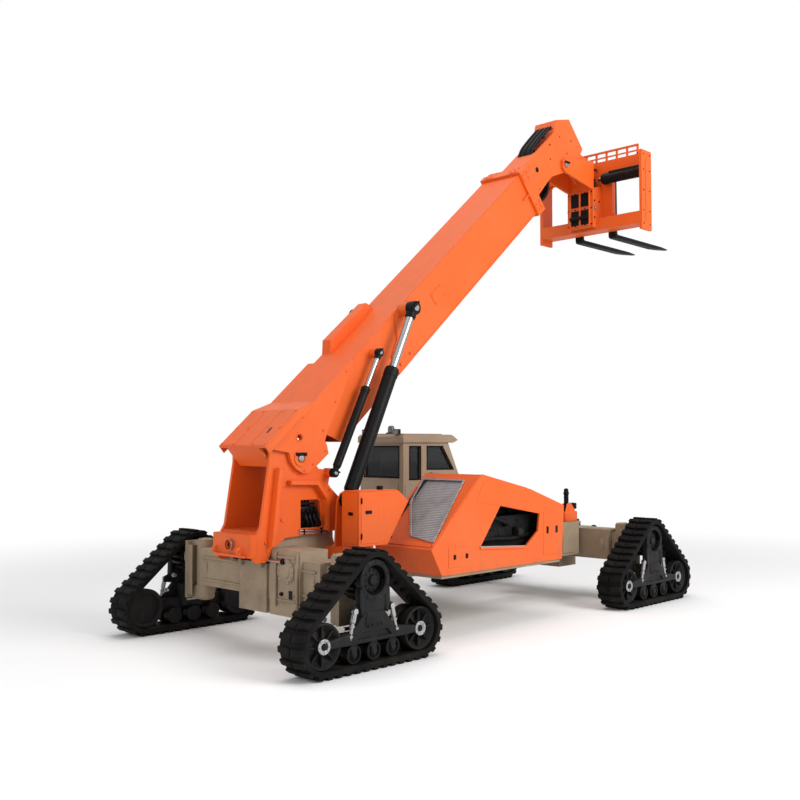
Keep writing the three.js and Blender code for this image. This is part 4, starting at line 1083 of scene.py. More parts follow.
def makeDropBox():
    x = corners("rear_axle")[0].x  # its flat rear face
    right, left = dropBox["panel"]
    low, high = dropBox["heights"]
    cover = addBox((x - 0.012, right, low), (x + 0.004, left, high), 0.006)
    frameBars = [addBox((x - 0.03, right, z - 0.012), (x, left, z + 0.012), 0.005, 1)
        for z in (low + 0.02, high - 0.02)]
    ribs = [addBox((x - 0.035, y - 0.014, low - 0.06), (x, y + 0.014, high + 0.03), 0.006, 1)
        for y in (right - 0.03, left + 0.03)]
    bolts = boltsAt(0.013, [(x - 0.012, y, z) for y in (right + 0.035, left - 0.035)
        for z in (low + 0.08, (low + high) / 2, high - 0.08)], (-1, 0, 0))
    y, z, radius = dropBox["flange"]
    flange = standAt(spun([(0, 0.05), (radius * 0.5, 0.05), (radius * 0.55, 0.046),
        (radius * 0.6, 0.034), (radius, 0.03), (radius, 0), (0, 0)], 36), (x, y, z), (-1, 0, 0))
    ring = boltsAt(0.01, [(x - 0.03, y + radius * 0.84 * cos(k * pi / 6), z + radius * 0.84 * sin(k
        * pi / 6)) for k in range(12)], (-1, 0, 0))
    finish([cover, bolts, flange, ring] + frameBars + ribs, "drop_box_covers", "tan_paint")
    # painted shade: a dark sheet standing for the shade in the cover's recess, and a dark plug
    recess = addBox((x - 0.016, right + 0.06, low + 0.04), (x - 0.01, left - 0.2, low + 0.14),
        0.004, 1)
    plug = standAt(spun([(0, 0.03), (0.02, 0.03), (0.024, 0.024), (0.024, 0), (0, 0)], 6),
        (x - 0.012, left - 0.08, low + 0.09), (-1, 0, 0))
    finish([recess, plug], "drop_box_plug_and_recess_shade", "dark_steel")


def makeKnuckleTrim():  # kingpin caps and the hub's flange, on the steered unit
    for corner in ("rear_right", "front_right", "rear_left", "front_left"):
        low, high = corners(corner + "_knuckle")
        joint = Vector(jointOf["steer_" + corner]["pos_m"])
        side = 1 if joint.y > 0 else -1
        body = corner + "_track_unit"
        x, y = joint.x, joint.y
        cap = spun([(0, 0.03), (0.06, 0.03), (0.072, 0.022), (0.1, 0.02), (0.106, 0.014),
            (0.106, 0), (0, 0)], 32)
        caps = [standAt(copied(cap), (x, y, high.z)), standAt(cap, (x, y, low.z), (0, 0, -1))]
        bolts = moved(boltsAt(0.011, onCircle(0.086, axleLook["pinBolts"], high.z + 0.02)),
            Matrix.Translation((x, y, 0)))
        reach = y + side * 0.185
        drum = standAt(spun([(0.16, 0), (0.19, 0), (0.196, 0.006), (0.196, 0.03), (0.19, 0.036),
            (0.16, 0.036)], 40), (x, reach, 0.973), (0, side, 0))
        gussets = [addBox((x + s * 0.185 - 0.01, y + side * 0.04, 0.48),
            (x + s * 0.185 + 0.01, y + side * 0.17, 1.14), 0.006, 1) for s in (-1, 1)]
        arm = addBox((x - 0.03, y + side * 0.02, high.z + 0.002),
            (x + 0.03, y + side * 0.16, high.z + 0.012), 0.004, 1)
        finish(caps + [bolts, drum, arm] + gussets, corner + "_knuckle_trim", "tan_paint", body)
    print("axles and knuckles are trimmed")


placeAxles()
makeDropBox()
makeKnuckleTrim()


# Tower, its pins and hoses.
tower = {
    "outer": 0.37,  # the plates' outer faces
    "pipe": 0.011,
    "hose": 0.017,
}


def makePivotPin():
    low, high = corners("boom_pivot_pin")
    middle = (low + high) / 2
    radius = (high.z - low.z) / 2
    length = high.y - low.y
    shaft = spun([(0, 0), (radius * 0.45, 0), (radius * 0.5, 0.006), (radius - 0.008, 0.006),
        (radius, 0.014), (radius, length - 0.014), (radius - 0.008, length - 0.006),
        (radius * 0.5, length - 0.006), (radius * 0.45, length), (0, length)], 40)
    standAt(shaft, (middle.x, low.y, middle.z), (0, 1, 0))
    finish(shaft, "boom_pivot_pin_look", "bright_steel", instead=["boom_pivot_pin"])
    for side in (-1, 1):
        y = side * (length / 2 - 0.012)
        lock = keeper(0.085, 0.008, radius * 0.55, radius * 1.5, 0.004, 0.013, 0.062, radius)
        turn = Matrix.Rotation(0 if side < 0 else pi, 4, "Z")
        moved(lock, Matrix.Translation((middle.x, y, middle.z)) @ turn)
        finish(lock, "pivot_keeper_" + ("right" if side < 0 else "left"), "dark_steel")


def makeTowerWorks():  # the valve block behind the tower's window, and its hoses
    block = machineBox((-2.82, -0.315, 1.45), (-2.54, -0.13, 1.7), 0.012)
    spools = []
    cap = spun([(0, 0.05), (0.018, 0.05), (0.024, 0.044), (0.024, 0), (0, 0)], 20)
    for z in (1.5, 1.57, 1.64):
        for x in (-2.775, -2.71, -2.645, -2.58):
            spools.append(standAt(copied(cap), onMachine(x, -0.315, z), (0, -1, 0)))
    discard(cap)
    manifold = machineBox((-2.8, -0.325, 1.715), (-2.56, -0.2, 1.745), 0.006, 1)
    hoses = []
    for k, (x, dip) in enumerate(((-2.775, 1.50), (-2.71, 1.47), (-2.645, 1.49), (-2.58, 1.475))):
        hoses.append(machinePipe([(x, -0.30, 1.64 - 0.07 * (k % 3)), (x, -0.39, 1.63),
            (x - 0.02, -0.425, 1.56), (x + 0.03, -0.42, dip), (x + 0.05, -0.36, 1.455),
            (x + 0.06, -0.2, 1.445)], tower["hose"]))
    for k, y in enumerate((-0.25, -0.19, -0.13, 0.13, 0.19)):
        hoses.append(machinePipe([(-2.6, y, 1.70), (-2.62, y, 1.80), (-2.74, y, 1.88),
            (-2.82, y, 2.0), (-2.84, y, 2.12)], tower["hose"]))
    finish([block, manifold] + spools + hoses, "tower_valve_block", "dark_steel")
    pipes = [machinePipe([(-2.86, -0.382, 1.415 - k * 0.035), (-2.6, -0.384, 1.405 - k * 0.035),
        (-2.42, -0.384, 1.40 - k * 0.035), (-2.33, -0.384, 1.33 - k * 0.02), (-2.3, -0.384, 1.2)],
        tower["pipe"]) for k in range(2)]
    clips = [machineBox((x, -0.4, 1.36), (x + 0.018, -0.37, 1.43), 0.003, 1)
        for x in (-2.8, -2.52)]
    finish(pipes, "tower_pipes", "bright_steel")
    finish(clips, "tower_pipe_clips", "dark_steel")


def makeTowerTrim():
    pieces = []
    for side in (-1, 1):
        y = side * tower["outer"]
        pieces.append(boltsAt(0.017, [onMachine(x, y, z)
            for x, z in ((-3.38, 1.3), (-3.36, 1.2), (-3.24, 1.16), (-2.62, 1.36), (-2.46, 1.36),
            (-2.34, 1.46), (-2.36, 1.9))], (0, side, 0)))
        # doubler ring round the boom's pin, behind the boom's cheek
        pieces.append(standAt(spun([(0.1, 0), (0.125, 0), (0.125, 0.004), (0.1, 0.004)], 40),
            (pivotPin.x, y, pivotPin.z), (0, side, 0)))
        for z in (1.56, 1.98):  # heads of the pins that carry the hose rollers
            pieces.append(standAt(pinHead(0.03, 0.012), onMachine(-3.12, y, z), (0, side, 0)))
    pieces.append(machineBox((-3.6, -0.325, 1.395), (-3.495, 0.325, 1.403), 0.003, 1))
    finish(pieces, "tower_trim", "orange_paint")


def makeTowBoss():
    x = corners("tower_floor")[0].x
    ring = spun([(0.036, 0.005), (0.04, -0.002), (0.056, -0.002), (0.064, 0.006), (0.064, 0.05),
        (0.036, 0.05), (0.036, 0.005)], 40)
    standAt(ring, (x + 0.002, 0, 1.272), (1, 0, 0))
    finish(ring, "tow_boss_face", "bright_steel")
    shackles = []
    for side in (-1, 1):
        y = side * 0.24
        ear = plate([(x + 0.02, y - 0.012, 1.16), (x + 0.02, y - 0.012, 1.26),
            (x - 0.045, y - 0.012, 1.245), (x - 0.06, y - 0.012, 1.21),
            (x - 0.045, y - 0.012, 1.175)], (0, 0.024, 0), 0.005)
        eyeHole = standAt(roundBar(0.017, -0.1, 0.1), (x - 0.028, y, 1.21), (0, 1, 0))
        shackles.append(carve(ear, eyeHole))
    finish(shackles, "tow_ears", "orange_paint")
    # painted shade: a dark disc deep in the boss stands for the shade inside its bore
    dark = standAt(roundBar(0.036, 0, 0.004, 28), (x + 0.03, 0, 1.272), (-1, 0, 0))
    finish(dark, "tow_boss_bore_shade", "dark_steel")


def makeCylinderPins():
    for side, name in ((-1, "right"), (1, "left")):
        base = Vector(jointOf["lift_barrel_" + name + "_pivot"]["pos_m"])
        shaft, lock = crossPin(base, side * 0.463, side * 0.672, 0.046, 0.4)
        finish(shaft, "lift_base_pin_" + name, "bright_steel")
        finish(lock, "lift_base_keeper_" + name, "dark_steel")
        along, across = cylinders["lift"]["top"]
        top = fromBoom(along, base.y, across)
        shaft, lock = crossPin(top, side * 0.508, side * 0.64, 0.046, -boomTurn)
        finish(shaft, "lift_top_pin_" + name, "bright_steel", "lift_rod_" + name)
        finish(lock, "lift_top_keeper_" + name, "dark_steel", "lift_rod_" + name)
    base = Vector(jointOf["levelling_barrel_pivot"]["pos_m"])
    shaft, lock = crossPin(base, -0.372, -0.54, 0.028, 0.4)
    finish(shaft, "levelling_base_pin", "bright_steel")
    finish(lock, "levelling_base_keeper", "dark_steel")
    along, across = cylinders["levelling"]["top"]
    shaft, lock = crossPin(fromBoom(along, base.y, across), -0.462, -0.54, 0.028, -boomTurn)
    finish(shaft, "levelling_top_pin", "bright_steel", "levelling_rod")
    finish(lock, "levelling_top_keeper", "dark_steel", "levelling_rod")


makePivotPin()
makeTowerWorks()
makeTowerTrim()
makeTowBoss()
makeCylinderPins()
print("tower is done")


# Hood, engine and side box.
hood = {
    "right": -1.42,
    "left": -0.411,
    "slope": ((-1.6, 1.15), (-0.6, 2.07)),  # the rear face, from low to high
    "ridge": ((-0.6, 2.07), (0.43, 1.85), (1.28, 1.58)),
    "opening": ((-0.65, 1.1), (0.33, 1.04), (0.64, 1.25), (0.68, 1.49), (-0.21, 1.64)),
    "louvers": 7,
}


def alongLine(start, end, width, lift, yLow, yHigh, bevel=0.003):
    # a flat bar lying on a line of the side profile, lifted off it
    (x1, z1), (x2, z2) = start, end
    length = hypot(x2 - x1, z2 - z1)
    nx, nz = (z1 - z2) / length, (x2 - x1) / length
    return sidePlate([(x1 - nx * width, z1 - nz * width), (x2 - nx * width, z2 - nz * width),
        (x2 + nx * lift, z2 + nz * lift), (x1 + nx * lift, z1 + nz * lift)], yLow, yHigh, bevel, 1)


def between(start, end, share):
    return [a + (b - a) * share for a, b in zip(start, end)]


def makeHoodTrim():
    right, left = hood["right"], hood["left"]
    ridge = hood["ridge"]
    pieces = []
    # edge rails over the ridge and two lids between them
    for start, end in zip(ridge, ridge[1:]):
        for y in (right + 0.004, left - 0.034):
            pieces.append(alongLine(between(start, end, 0.02), between(start, end, 0.98), 0.002,
                0.007, y, y + 0.03))
        for y1, y2 in ((right + 0.06, (right + left) / 2 - 0.006), ((right + left) / 2 + 0.006,
                left - 0.06)):
            pieces.append(alongLine(between(start, end, 0.05), between(start, end, 0.95), 0.002,
                0.006, y1, y2))
    low, high = hood["slope"]
    for y in (right + 0.01, left - 0.04):
        pieces.append(alongLine(between(low, high, 0.04), between(low, high, 0.97), 0.002, 0.01, y,
            y + 0.03))
    pieces.append(alongLine(between(low, high, 0.03), between(low, high, 0.07), 0.002, 0.008,
        right + 0.05, left - 0.05))
    # raised service doors before and behind the opening, on both sides
    for x1, x2, z1, z2 in ((0.76, 1.18, 0.9, 1.46), (-1.28, -0.8, 0.9, 1.12)):
        for y, rise in ((right, -0.005), (left, 0.005)):
            pieces.append(sidePlate([(x1, z1), (x2, z1), (x2 - 0.01, z2), (x1 + 0.01, z2 + 0.06)],
                y - 0.002 * copysign(1, rise), y + rise, 0.002, 1))
    pieces.append(sidePlate([(-0.72, 1.72), (0.42, 1.55), (0.4, 1.76), (-0.56, 1.97)],
        right + 0.002, right - 0.005, 0.002, 1))
    # lip under the opening
    points = hood["opening"]
    pieces.append(alongLine(points[1], points[0], 0.02, 0.012, right + 0.005, right - 0.018))
    finish(pieces, "hood_panels", "orange_paint")

    dark = []
    count = hood["louvers"]
    for k in range(count):  # painted shade: dark strips standing for the shade in the front lid's slots
        start = between(ridge[1], ridge[2], 0.2 + 0.62 * k / count)
        end = between(ridge[1], ridge[2], 0.2 + 0.62 * k / count + 0.035)
        dark.append(alongLine(start, end, 0.0, 0.008, right + 0.14, right + 0.4, 0.001))
    for x, foot, top in ((0.86, 1.2, 1.3), (1.08, 1.2, 1.3), (-1.16, 1.0, 1.06),
            (-0.92, 1.0, 1.06)):  # the service doors' handles
        dark.append(machineBox((x - 0.022, right - 0.016, foot), (x + 0.022, right, top), 0.005,
            1))
    for share in (0.12, 0.5, 0.88):  # hinges along the ridge's left edge
        x, z = between(ridge[0], ridge[1], share)
        dark.append(standAt(roundBar(0.012, -0.05, 0.05, 16), onMachine(x, left - 0.02, z + 0.012),
            (1, 0, -0.213)))
    # the dark duct strip beside the screen, and the lamp at its foot
    dark.append(alongLine(between(low, high, 0.16), between(low, high, 0.9), 0.002, 0.012,
        left - 0.115, left - 0.06))
    dark.append(machineBox((-1.5, -0.62, 1.19), (-1.4, -0.52, 1.27), 0.01))
    finish(dark, "hood_fittings_and_slot_shade", "dark_steel")

    sill = alongLine(points[1], points[0], 0.03, 0.0, right + 0.012, right - 0.012)
    finish(sill, "hood_sill", "screen_mesh")


def makeScreenFrame():
    low, high = hood["slope"]
    up = Vector((low[1] - high[1], 0, high[0] - low[0])).normalized()
    outline = ((-1.37, 1.24), (-0.93, 1.29), (-0.52, 1.69), (-0.46, 1.985), (-1.19, 1.985))

    def onSlope(y, z):
        share = (z - low[1]) / (high[1] - low[1])
        return Vector(onMachine(low[0] + (high[0] - low[0]) * share, y, z)) + up * 0.004

    bars = []
    for (y1, z1), (y2, z2) in zip(outline, outline[1:] + outline[:1]):
        start, end = onSlope(y1, z1), onSlope(y2, z2)
        side = (end - start).cross(up).normalized() * 0.016
        bars.append(plate([start - side, end - side, end + side, start + side], up * 0.012, 0.004,
            1))
    finish(bars, "screen_frame", "screen_mesh")


engine = {
    "side": -1.23,  # its right face
    "covers": 4,
    "pipes": 4,
}


def makeEngine():
    dark, grey, bright = [], [], []
    y = engine["side"]
    # rocker covers, air filter, alternator, belts and pipes, seen through the opening
    for k in range(engine["covers"]):
        x = -0.42 + 0.27 * k
        dark.append(machineBox((x, -1.1, 1.48), (x + 0.2, -0.8, 1.56), 0.02))
    filterCan = spun([(0, 0), (0.12, 0), (0.13, 0.01), (0.13, 0.06), (0.12, 0.07), (0.12, 0.44),
        (0.1, 0.46), (0.05, 0.47), (0.05, 0.52), (0, 0.52)], 36)
    dark.append(standAt(filterCan, onMachine(-0.5, -1.16, 1.62), (1, 0, 0)))
    alternator = spun([(0, 0), (0.06, 0), (0.075, 0.012), (0.075, 0.09), (0.06, 0.105),
        (0.02, 0.11), (0.02, 0.14), (0.04, 0.142), (0.04, 0.16), (0, 0.16)], 28)
    grey.append(standAt(alternator, onMachine(0.28, -1.29, 1.25), (1, 0, 0)))
    pulley = spun([(0, 0), (0.1, 0), (0.1, 0.008), (0.086, 0.016), (0.1, 0.024), (0.1, 0.034),
        (0.03, 0.034), (0.03, 0.05), (0, 0.05)], 36)
    grey.append(standAt(copied(pulley), onMachine(0.85, -0.95, 1.15), (1, 0, 0)))
    grey.append(standAt(pulley, onMachine(0.85, -1.1, 1.35), (1, 0, 0)))
    for k in range(engine["pipes"]):
        x = -0.45 + 0.28 * k
        bright.append(machinePipe([(x, y + 0.02, 1.42), (x, y - 0.05, 1.40),
            (x + 0.06, y - 0.06, 1.34), (x + 0.1, y - 0.055, 1.2)], 0.009))
    dark.append(machinePipe([(-0.6, y - 0.05, 1.18), (-0.2, y - 0.08, 1.2), (0.2, y - 0.08, 1.16),
        (0.6, y - 0.04, 1.2)], 0.03))
    dark.append(machineBox((-0.4, y - 0.07, 1.14), (-0.18, y + 0.01, 1.3), 0.012))
    dark.append(machinePipe([(0.1, y, 1.36), (0.1, y - 0.09, 1.38), (-0.1, y - 0.1, 1.44),
        (-0.3, y - 0.06, 1.5), (-0.34, y, 1.6)], 0.034))
    dark.append(machineBox((-0.62, y + 0.01, 1.0), (0.6, y - 0.012, 1.06), 0.006, 1))
    grey.append(boltsAt(0.014, [onMachine(-0.58 + 0.165 * k, y - 0.012, 1.03) for k in range(8)],
        (0, -1, 0)))
    dark.append(machineBox((0.9, -1.25, 0.86), (0.93, -0.6, 1.5), 0.008))
    finish(dark, "engine_dark", "dark_steel")
    finish(grey, "engine_fittings", "cast_grey")
    finish(bright, "engine_pipes", "cast_grey")


def makeExhaust():  # short stack between the hood and the frame
    stack = spun([(0, 0), (0.05, 0), (0.055, 0.01), (0.055, 0.16), (0.045, 0.18), (0.045, 0.27),
        (0.036, 0.27), (0.036, 0.2), (0, 0.2)], 32)
    standAt(stack, onMachine(-0.1, -0.352, 1.3))
    finish(stack, "exhaust_stack", "dark_steel")
    lamp = joined([machineBox((0.36, -0.52, 1.9), (0.42, -0.4, 1.99), 0.012),
        machineBox((0.385, -0.468, 1.83), (0.4, -0.452, 1.91), 0.003, 1)])
    finish(lamp, "hood_lamp", "cast_grey")
    lens = machineBox((0.418, -0.51, 1.91), (0.424, -0.41, 1.98), 0.002, 1)
    finish(lens, "hood_lamp_lens", "screen_mesh")


sideBox = {
    "rear": -2.44,
    "right": -1.0,
    "low": 1.225,
    "high": 1.89,
}


def makeSideBox():
    x, y = sideBox["rear"], sideBox["right"]
    low, high = sideBox["low"], sideBox["high"]
    door = sidePlate([(x + 0.03, low + 0.03), (x + 0.47, low + 0.03), (x + 0.8, low + 0.5),
        (x + 0.66, high - 0.05), (x + 0.03, high - 0.05)], y + 0.002, y - 0.008, 0.003, 1)
    back = addBox(onMachine(x - 0.008, y + 0.03, low + 0.03), onMachine(x + 0.002, -0.72,
        high - 0.04), 0.003, 1)
    top = addBox(onMachine(x + 0.01, y + 0.01, high), onMachine(x + 0.67, -0.7, high + 0.01),
        0.004, 1)
    finish([door, back, top], "side_box_panels", "orange_paint")
    dark = [machineBox((x + 0.1, y - 0.026, 1.62), (x + 0.2, y - 0.006, 1.66), 0.006, 1),
        machineBox((x - 0.022, -0.9, 1.6), (x - 0.006, -0.82, 1.64), 0.005, 1)]
    for z in (1.35, 1.78):
        dark.append(standAt(roundBar(0.01, -0.035, 0.035, 16), onMachine(x + 0.035, y - 0.008, z)))
    dark.append(standAt(spun([(0, 0.05), (0.036, 0.05), (0.042, 0.044), (0.042, 0.01), (0.03, 0),
        (0, 0)], 28), onMachine(x + 0.5, -0.85, high + 0.008)))
    finish(dark, "side_box_fittings", "dark_steel")


def makeFrontFittings():
    low, high = corners("front_bracket")
    x, y = onMachine(2.5, 0, 0)[0], -0.625
    box = addBox((low.x, -0.69, low.z), (low.x + 0.34, -0.56, low.z + 0.16), 0.012)
    cheeks = [plate([(low.x + 0.02, side, low.z + 0.15), (low.x + 0.32, side, low.z + 0.15),
        (low.x + 0.2, side, low.z + 0.29), (low.x + 0.08, side, low.z + 0.29)], (0, 0.01, 0),
        0.004, 1) for side in (-0.672, -0.59)]
    bolts = boltsAt(0.011, [(low.x + a, -0.69, low.z + b) for a in (0.04, 0.3)
        for b in (0.035, 0.125)], (0, -1, 0))
    finish([box, bolts] + cheeks, "front_bracket_look", "orange_paint", instead=["front_bracket"])
    post = standAt(spun([(0, 0), (0.034, 0), (0.038, 0.006), (0.038, 0.46), (0.034, 0.48),
        (0.02, 0.492), (0, 0.495)], 28), (x, y, high.z - 0.496))
    knob = standAt(spun([(0.038, 0), (0.046, 0.006), (0.046, 0.03), (0.038, 0.036)], 28),
        (x, y, high.z - 0.1))
    finish([post, knob], "front_post", "dark_steel")
    lampX = onMachine(2.7, 0, 0)[0]
    lamp = joined([addBox((lampX - 0.04, -0.66, 1.42), (lampX + 0.05, -0.56, 1.52), 0.014),
        addBox((lampX - 0.01, -0.62, 1.22), (lampX + 0.01, -0.6, 1.43), 0.003, 1)])
    finish(lamp, "front_lamp_right", "dark_steel")
    twin = copied(lamp, Matrix.Translation((0, 1.22, 0)))
    finish(twin, "front_lamp_left", "dark_steel")
    lenses = [addBox((lampX + 0.048, y1, 1.43), (lampX + 0.056, y1 + 0.08, 1.51), 0.002, 1)
        for y1 in (-0.65, 0.57)]
    finish(lenses, "front_lamp_lenses", "screen_mesh")


def makeFrameTrim():
    pieces = []
    for side in (-1, 1):
        y = 0.3 * side
        for x1, x2 in ((-1.9, -1.1), (-0.6, 0.4), (0.9, 1.7)):
            if side > 0 and x1 > -1:
                continue
            pieces.append(machineBox((x1, y - 0.004, 0.7), (x2, y + side * 0.01, 0.79), 0.003, 1))
        pieces.append(boltsAt(0.014, [onMachine(2.3 + 0.08 * k, side * 0.7, 1.12)
            for k in range(3)], (0, side, 0)))
        pieces.append(machineBox((2.28, side * 0.7, 0.74), (2.62, side * 0.712, 1.2), 0.005, 1))
    front = corners("main_frame")[1].x
    pieces.append(addBox((front - 0.002, -0.26, 1.15), (front + 0.012, 0.26, 1.17), 0.004, 1))
    finish(pieces, "frame_trim", "tan_paint")
    hooks = []
    for side in (-1, 1):
        ear = addBox((front, side * 0.2 - 0.014, 1.125), (front + 0.09, side * 0.2 + 0.014, 1.2),
            0.01)
        bore = standAt(roundBar(0.02, -0.1, 0.1), (front + 0.055, side * 0.2, 1.162), (0, 1, 0))
        hooks.append(carve(ear, bore))
    strip = machineBox((1.25, -0.702, 0.74), (2.24, -0.69, 0.79), 0.004, 1)
    finish(hooks + [strip], "frame_fittings", "dark_steel")


def makeSteps():  # below the cab's door
    treads = []
    for z, out in ((0.42, 1.62), (0.68, 1.6)):
        treads.append(machineBox((0.56, out - 0.22, z), (1.0, out, z + 0.03), 0.006, 1))
        for k in range(9):
            x = 0.59 + 0.048 * k
            treads.append(machineBox((x, out - 0.2, z + 0.028), (x + 0.012, out - 0.02, z + 0.036),
                0.002, 1))
    for x in (0.55, 0.995):
        treads.append(sidePlate([(x, 0.4), (x + 0.015, 0.4), (x + 0.015, 0.9), (x, 0.9)], 1.38,
            1.6, 0.003, 1))
    finish(treads, "cab_steps", "dark_steel")


makeHoodTrim()
makeScreenFrame()
makeEngine()
makeExhaust()
makeSideBox()
makeFrontFittings()
makeFrameTrim()
makeSteps()
print("hood, engine and frame are trimmed")


# Boom and its head.
boomLook = {
    "half": 0.355,
    "top": 0.369,
    "bottom": -0.349,
    "mouth": 6.439,  # the outer section's front end
    "collar": 0.13,  # width of the band round that end
    "proud": 0.042,  # how far it stands over the box
}
tailCover = {
    "rear": -0.342,
    "shoulder": 0.35,
    "half": 0.463,
    "top": 0.49,
    "cheek": 0.43,
}


def makeCollar(name, body, end, width, half, top, bottom):
    start = end - width
    middle = start + width / 2
    pads = []
    for side in (-1, 1):
        y = side * half
        for across in (bottom + 0.13, top - 0.13):
            pads.append(addBox((start + 0.02, y, across - 0.075),
                (end - 0.02, y + side * 0.008, across + 0.075), 0.003, 1))
            pads.append(boltsAt(0.013, [(middle, y + side * 0.008, across + k * 0.045)
                for k in (-1, 1)], (0, side, 0)))
    for across, way in ((top, 1), (bottom, -1)):
        for y in (-half * 0.62, half * 0.62):
            pads.append(addBox((start + 0.02, y - 0.075, across),
                (end - 0.02, y + 0.075, across + way * 0.008), 0.003, 1))
            pads.append(boltsAt(0.013, [(middle, y + k * 0.045, across + way * 0.008)
                for k in (-1, 1)], (0, 0, way)))
    finish(toBoom(joined(pads)), name + "_pads", "orange_paint", body)
    # stiffening ribs run back from the collar
    ribs = [addBox((start - 0.16, side * (half - 0.03), -0.012),
        (start + 0.004, side * (half - 0.004), 0.012), 0.004, 1) for side in (-1, 1)]
    finish(toBoom(joined(ribs)), name + "_ribs", "orange_paint", body)


def makeBoomTrim():
    half, top, bottom = boomLook["half"], boomLook["top"], boomLook["bottom"]
    mouth, proud = boomLook["mouth"], boomLook["proud"]
    makeCollar("outer_mouth", "boom", mouth, boomLook["collar"], half + proud, top + proud,
        bottom - proud)
    makeCollar("middle_mouth", "boom_middle", mouth + 0.12, 0.11, half + 0.02, top + 0.02,
        bottom - 0.06)
    trim = []
    for side in (-1, 1):  # flange edges along the box, and access plates with their bolts
        y = side * half
        for across in (bottom + 0.006, top - 0.03):
            trim.append(addBox((1.55, y - 0.002, across), (6.3, y + side * 0.006, across + 0.022),
                0.002, 1))
        trim.append(addBox((3.35, y - 0.002, -0.06), (3.62, y + side * 0.007, 0.12), 0.003, 1))
        trim.append(boltsAt(0.009, [(a, y + side * 0.007, c) for a in (3.375, 3.595)
            for c in (-0.035, 0.095)], (0, side, 0)))
        trim.append(boltsAt(0.02, [(a, side * (half + 0.022), c)
            for a, c in ((2.2, -0.24), (2.45, -0.24), (2.62, 0.24))], (0, side, 0)))
    finish(toBoom(joined(trim)), "boom_side_trim", "orange_paint", "boom")


def makeTailCover():
    rear, shoulder = tailCover["rear"], tailCover["shoulder"]
    half, top = tailCover["half"], tailCover["top"]
    sheets = []
    for low, high in ((-half + 0.02, -0.16), (-0.15, 0.15), (0.16, half - 0.02)):
        sheets.append(addBox((rear + 0.015, low, top - 0.002),
            (shoulder - 0.012, high, top + 0.004), 0.002, 1))
    sheets.append(boltsAt(0.011, [(a, y, top + 0.004) for a in (rear + 0.04, 0.0, shoulder - 0.04)
        for y in (-0.43, -0.2, 0.2, 0.43)], (0, 0, 1)))
    for side in (-1, 1):
        y = side * half
        sheets.append(addBox((rear + 0.02, y, top - 0.1),
            (shoulder - 0.02, y + side * 0.004, top - 0.02), 0.002, 1))
        # pin bosses and bolts on the cheek plate
        ring = spun([(0.06, 0), (0.1, 0), (0.104, 0.004), (0.104, 0.01), (0.1, 0.014),
            (0.06, 0.014)], 40)
        sheets.append(standAt(ring, (0, side * (tailCover["cheek"] - 0.001), 0), (0, side, 0)))
        lock = spun([(0.042, 0), (0.058, 0), (0.06, 0.003), (0.06, 0.006), (0.042, 0.006)], 32)
        sheets.append(standAt(lock, (0.151, side * (tailCover["cheek"] - 0.001), 0.204),
            (0, side, 0)))
        sheets.append(boltsAt(0.014, [(a, side * tailCover["cheek"], c)
            for a, c in ((-0.06, -0.16), (0.1, -0.19), (0.36, -0.2), (0.5, 0.02), (0.9, 0.16),
            (1.3, 0.335))], (0, side, 0)))
    sheets.append(addBox((rear - 0.004, -half + 0.004, top - 0.029),
        (rear + 0.01, half - 0.004, top - 0.012), 0.003, 1))
    finish(toBoom(joined(sheets)), "tail_cover_sheets", "orange_paint", "boom")
    # painted shade: a thin dark strip on the cover stands for the shade in a slot
    slot = addBox((-0.1, -0.285, top + 0.004), (0.0, -0.255, top + 0.007), 0.001, 1)
    finish(toBoom(slot), "tail_cover_slot_shade", "dark_steel", "boom")


head = {
    "plate": 0.215,  # outer faces of the two side plates
    "hose": 0.022,
    "hoses": 6,
    "rootPipe": 0.028,
    "rootPipes": 5,
}


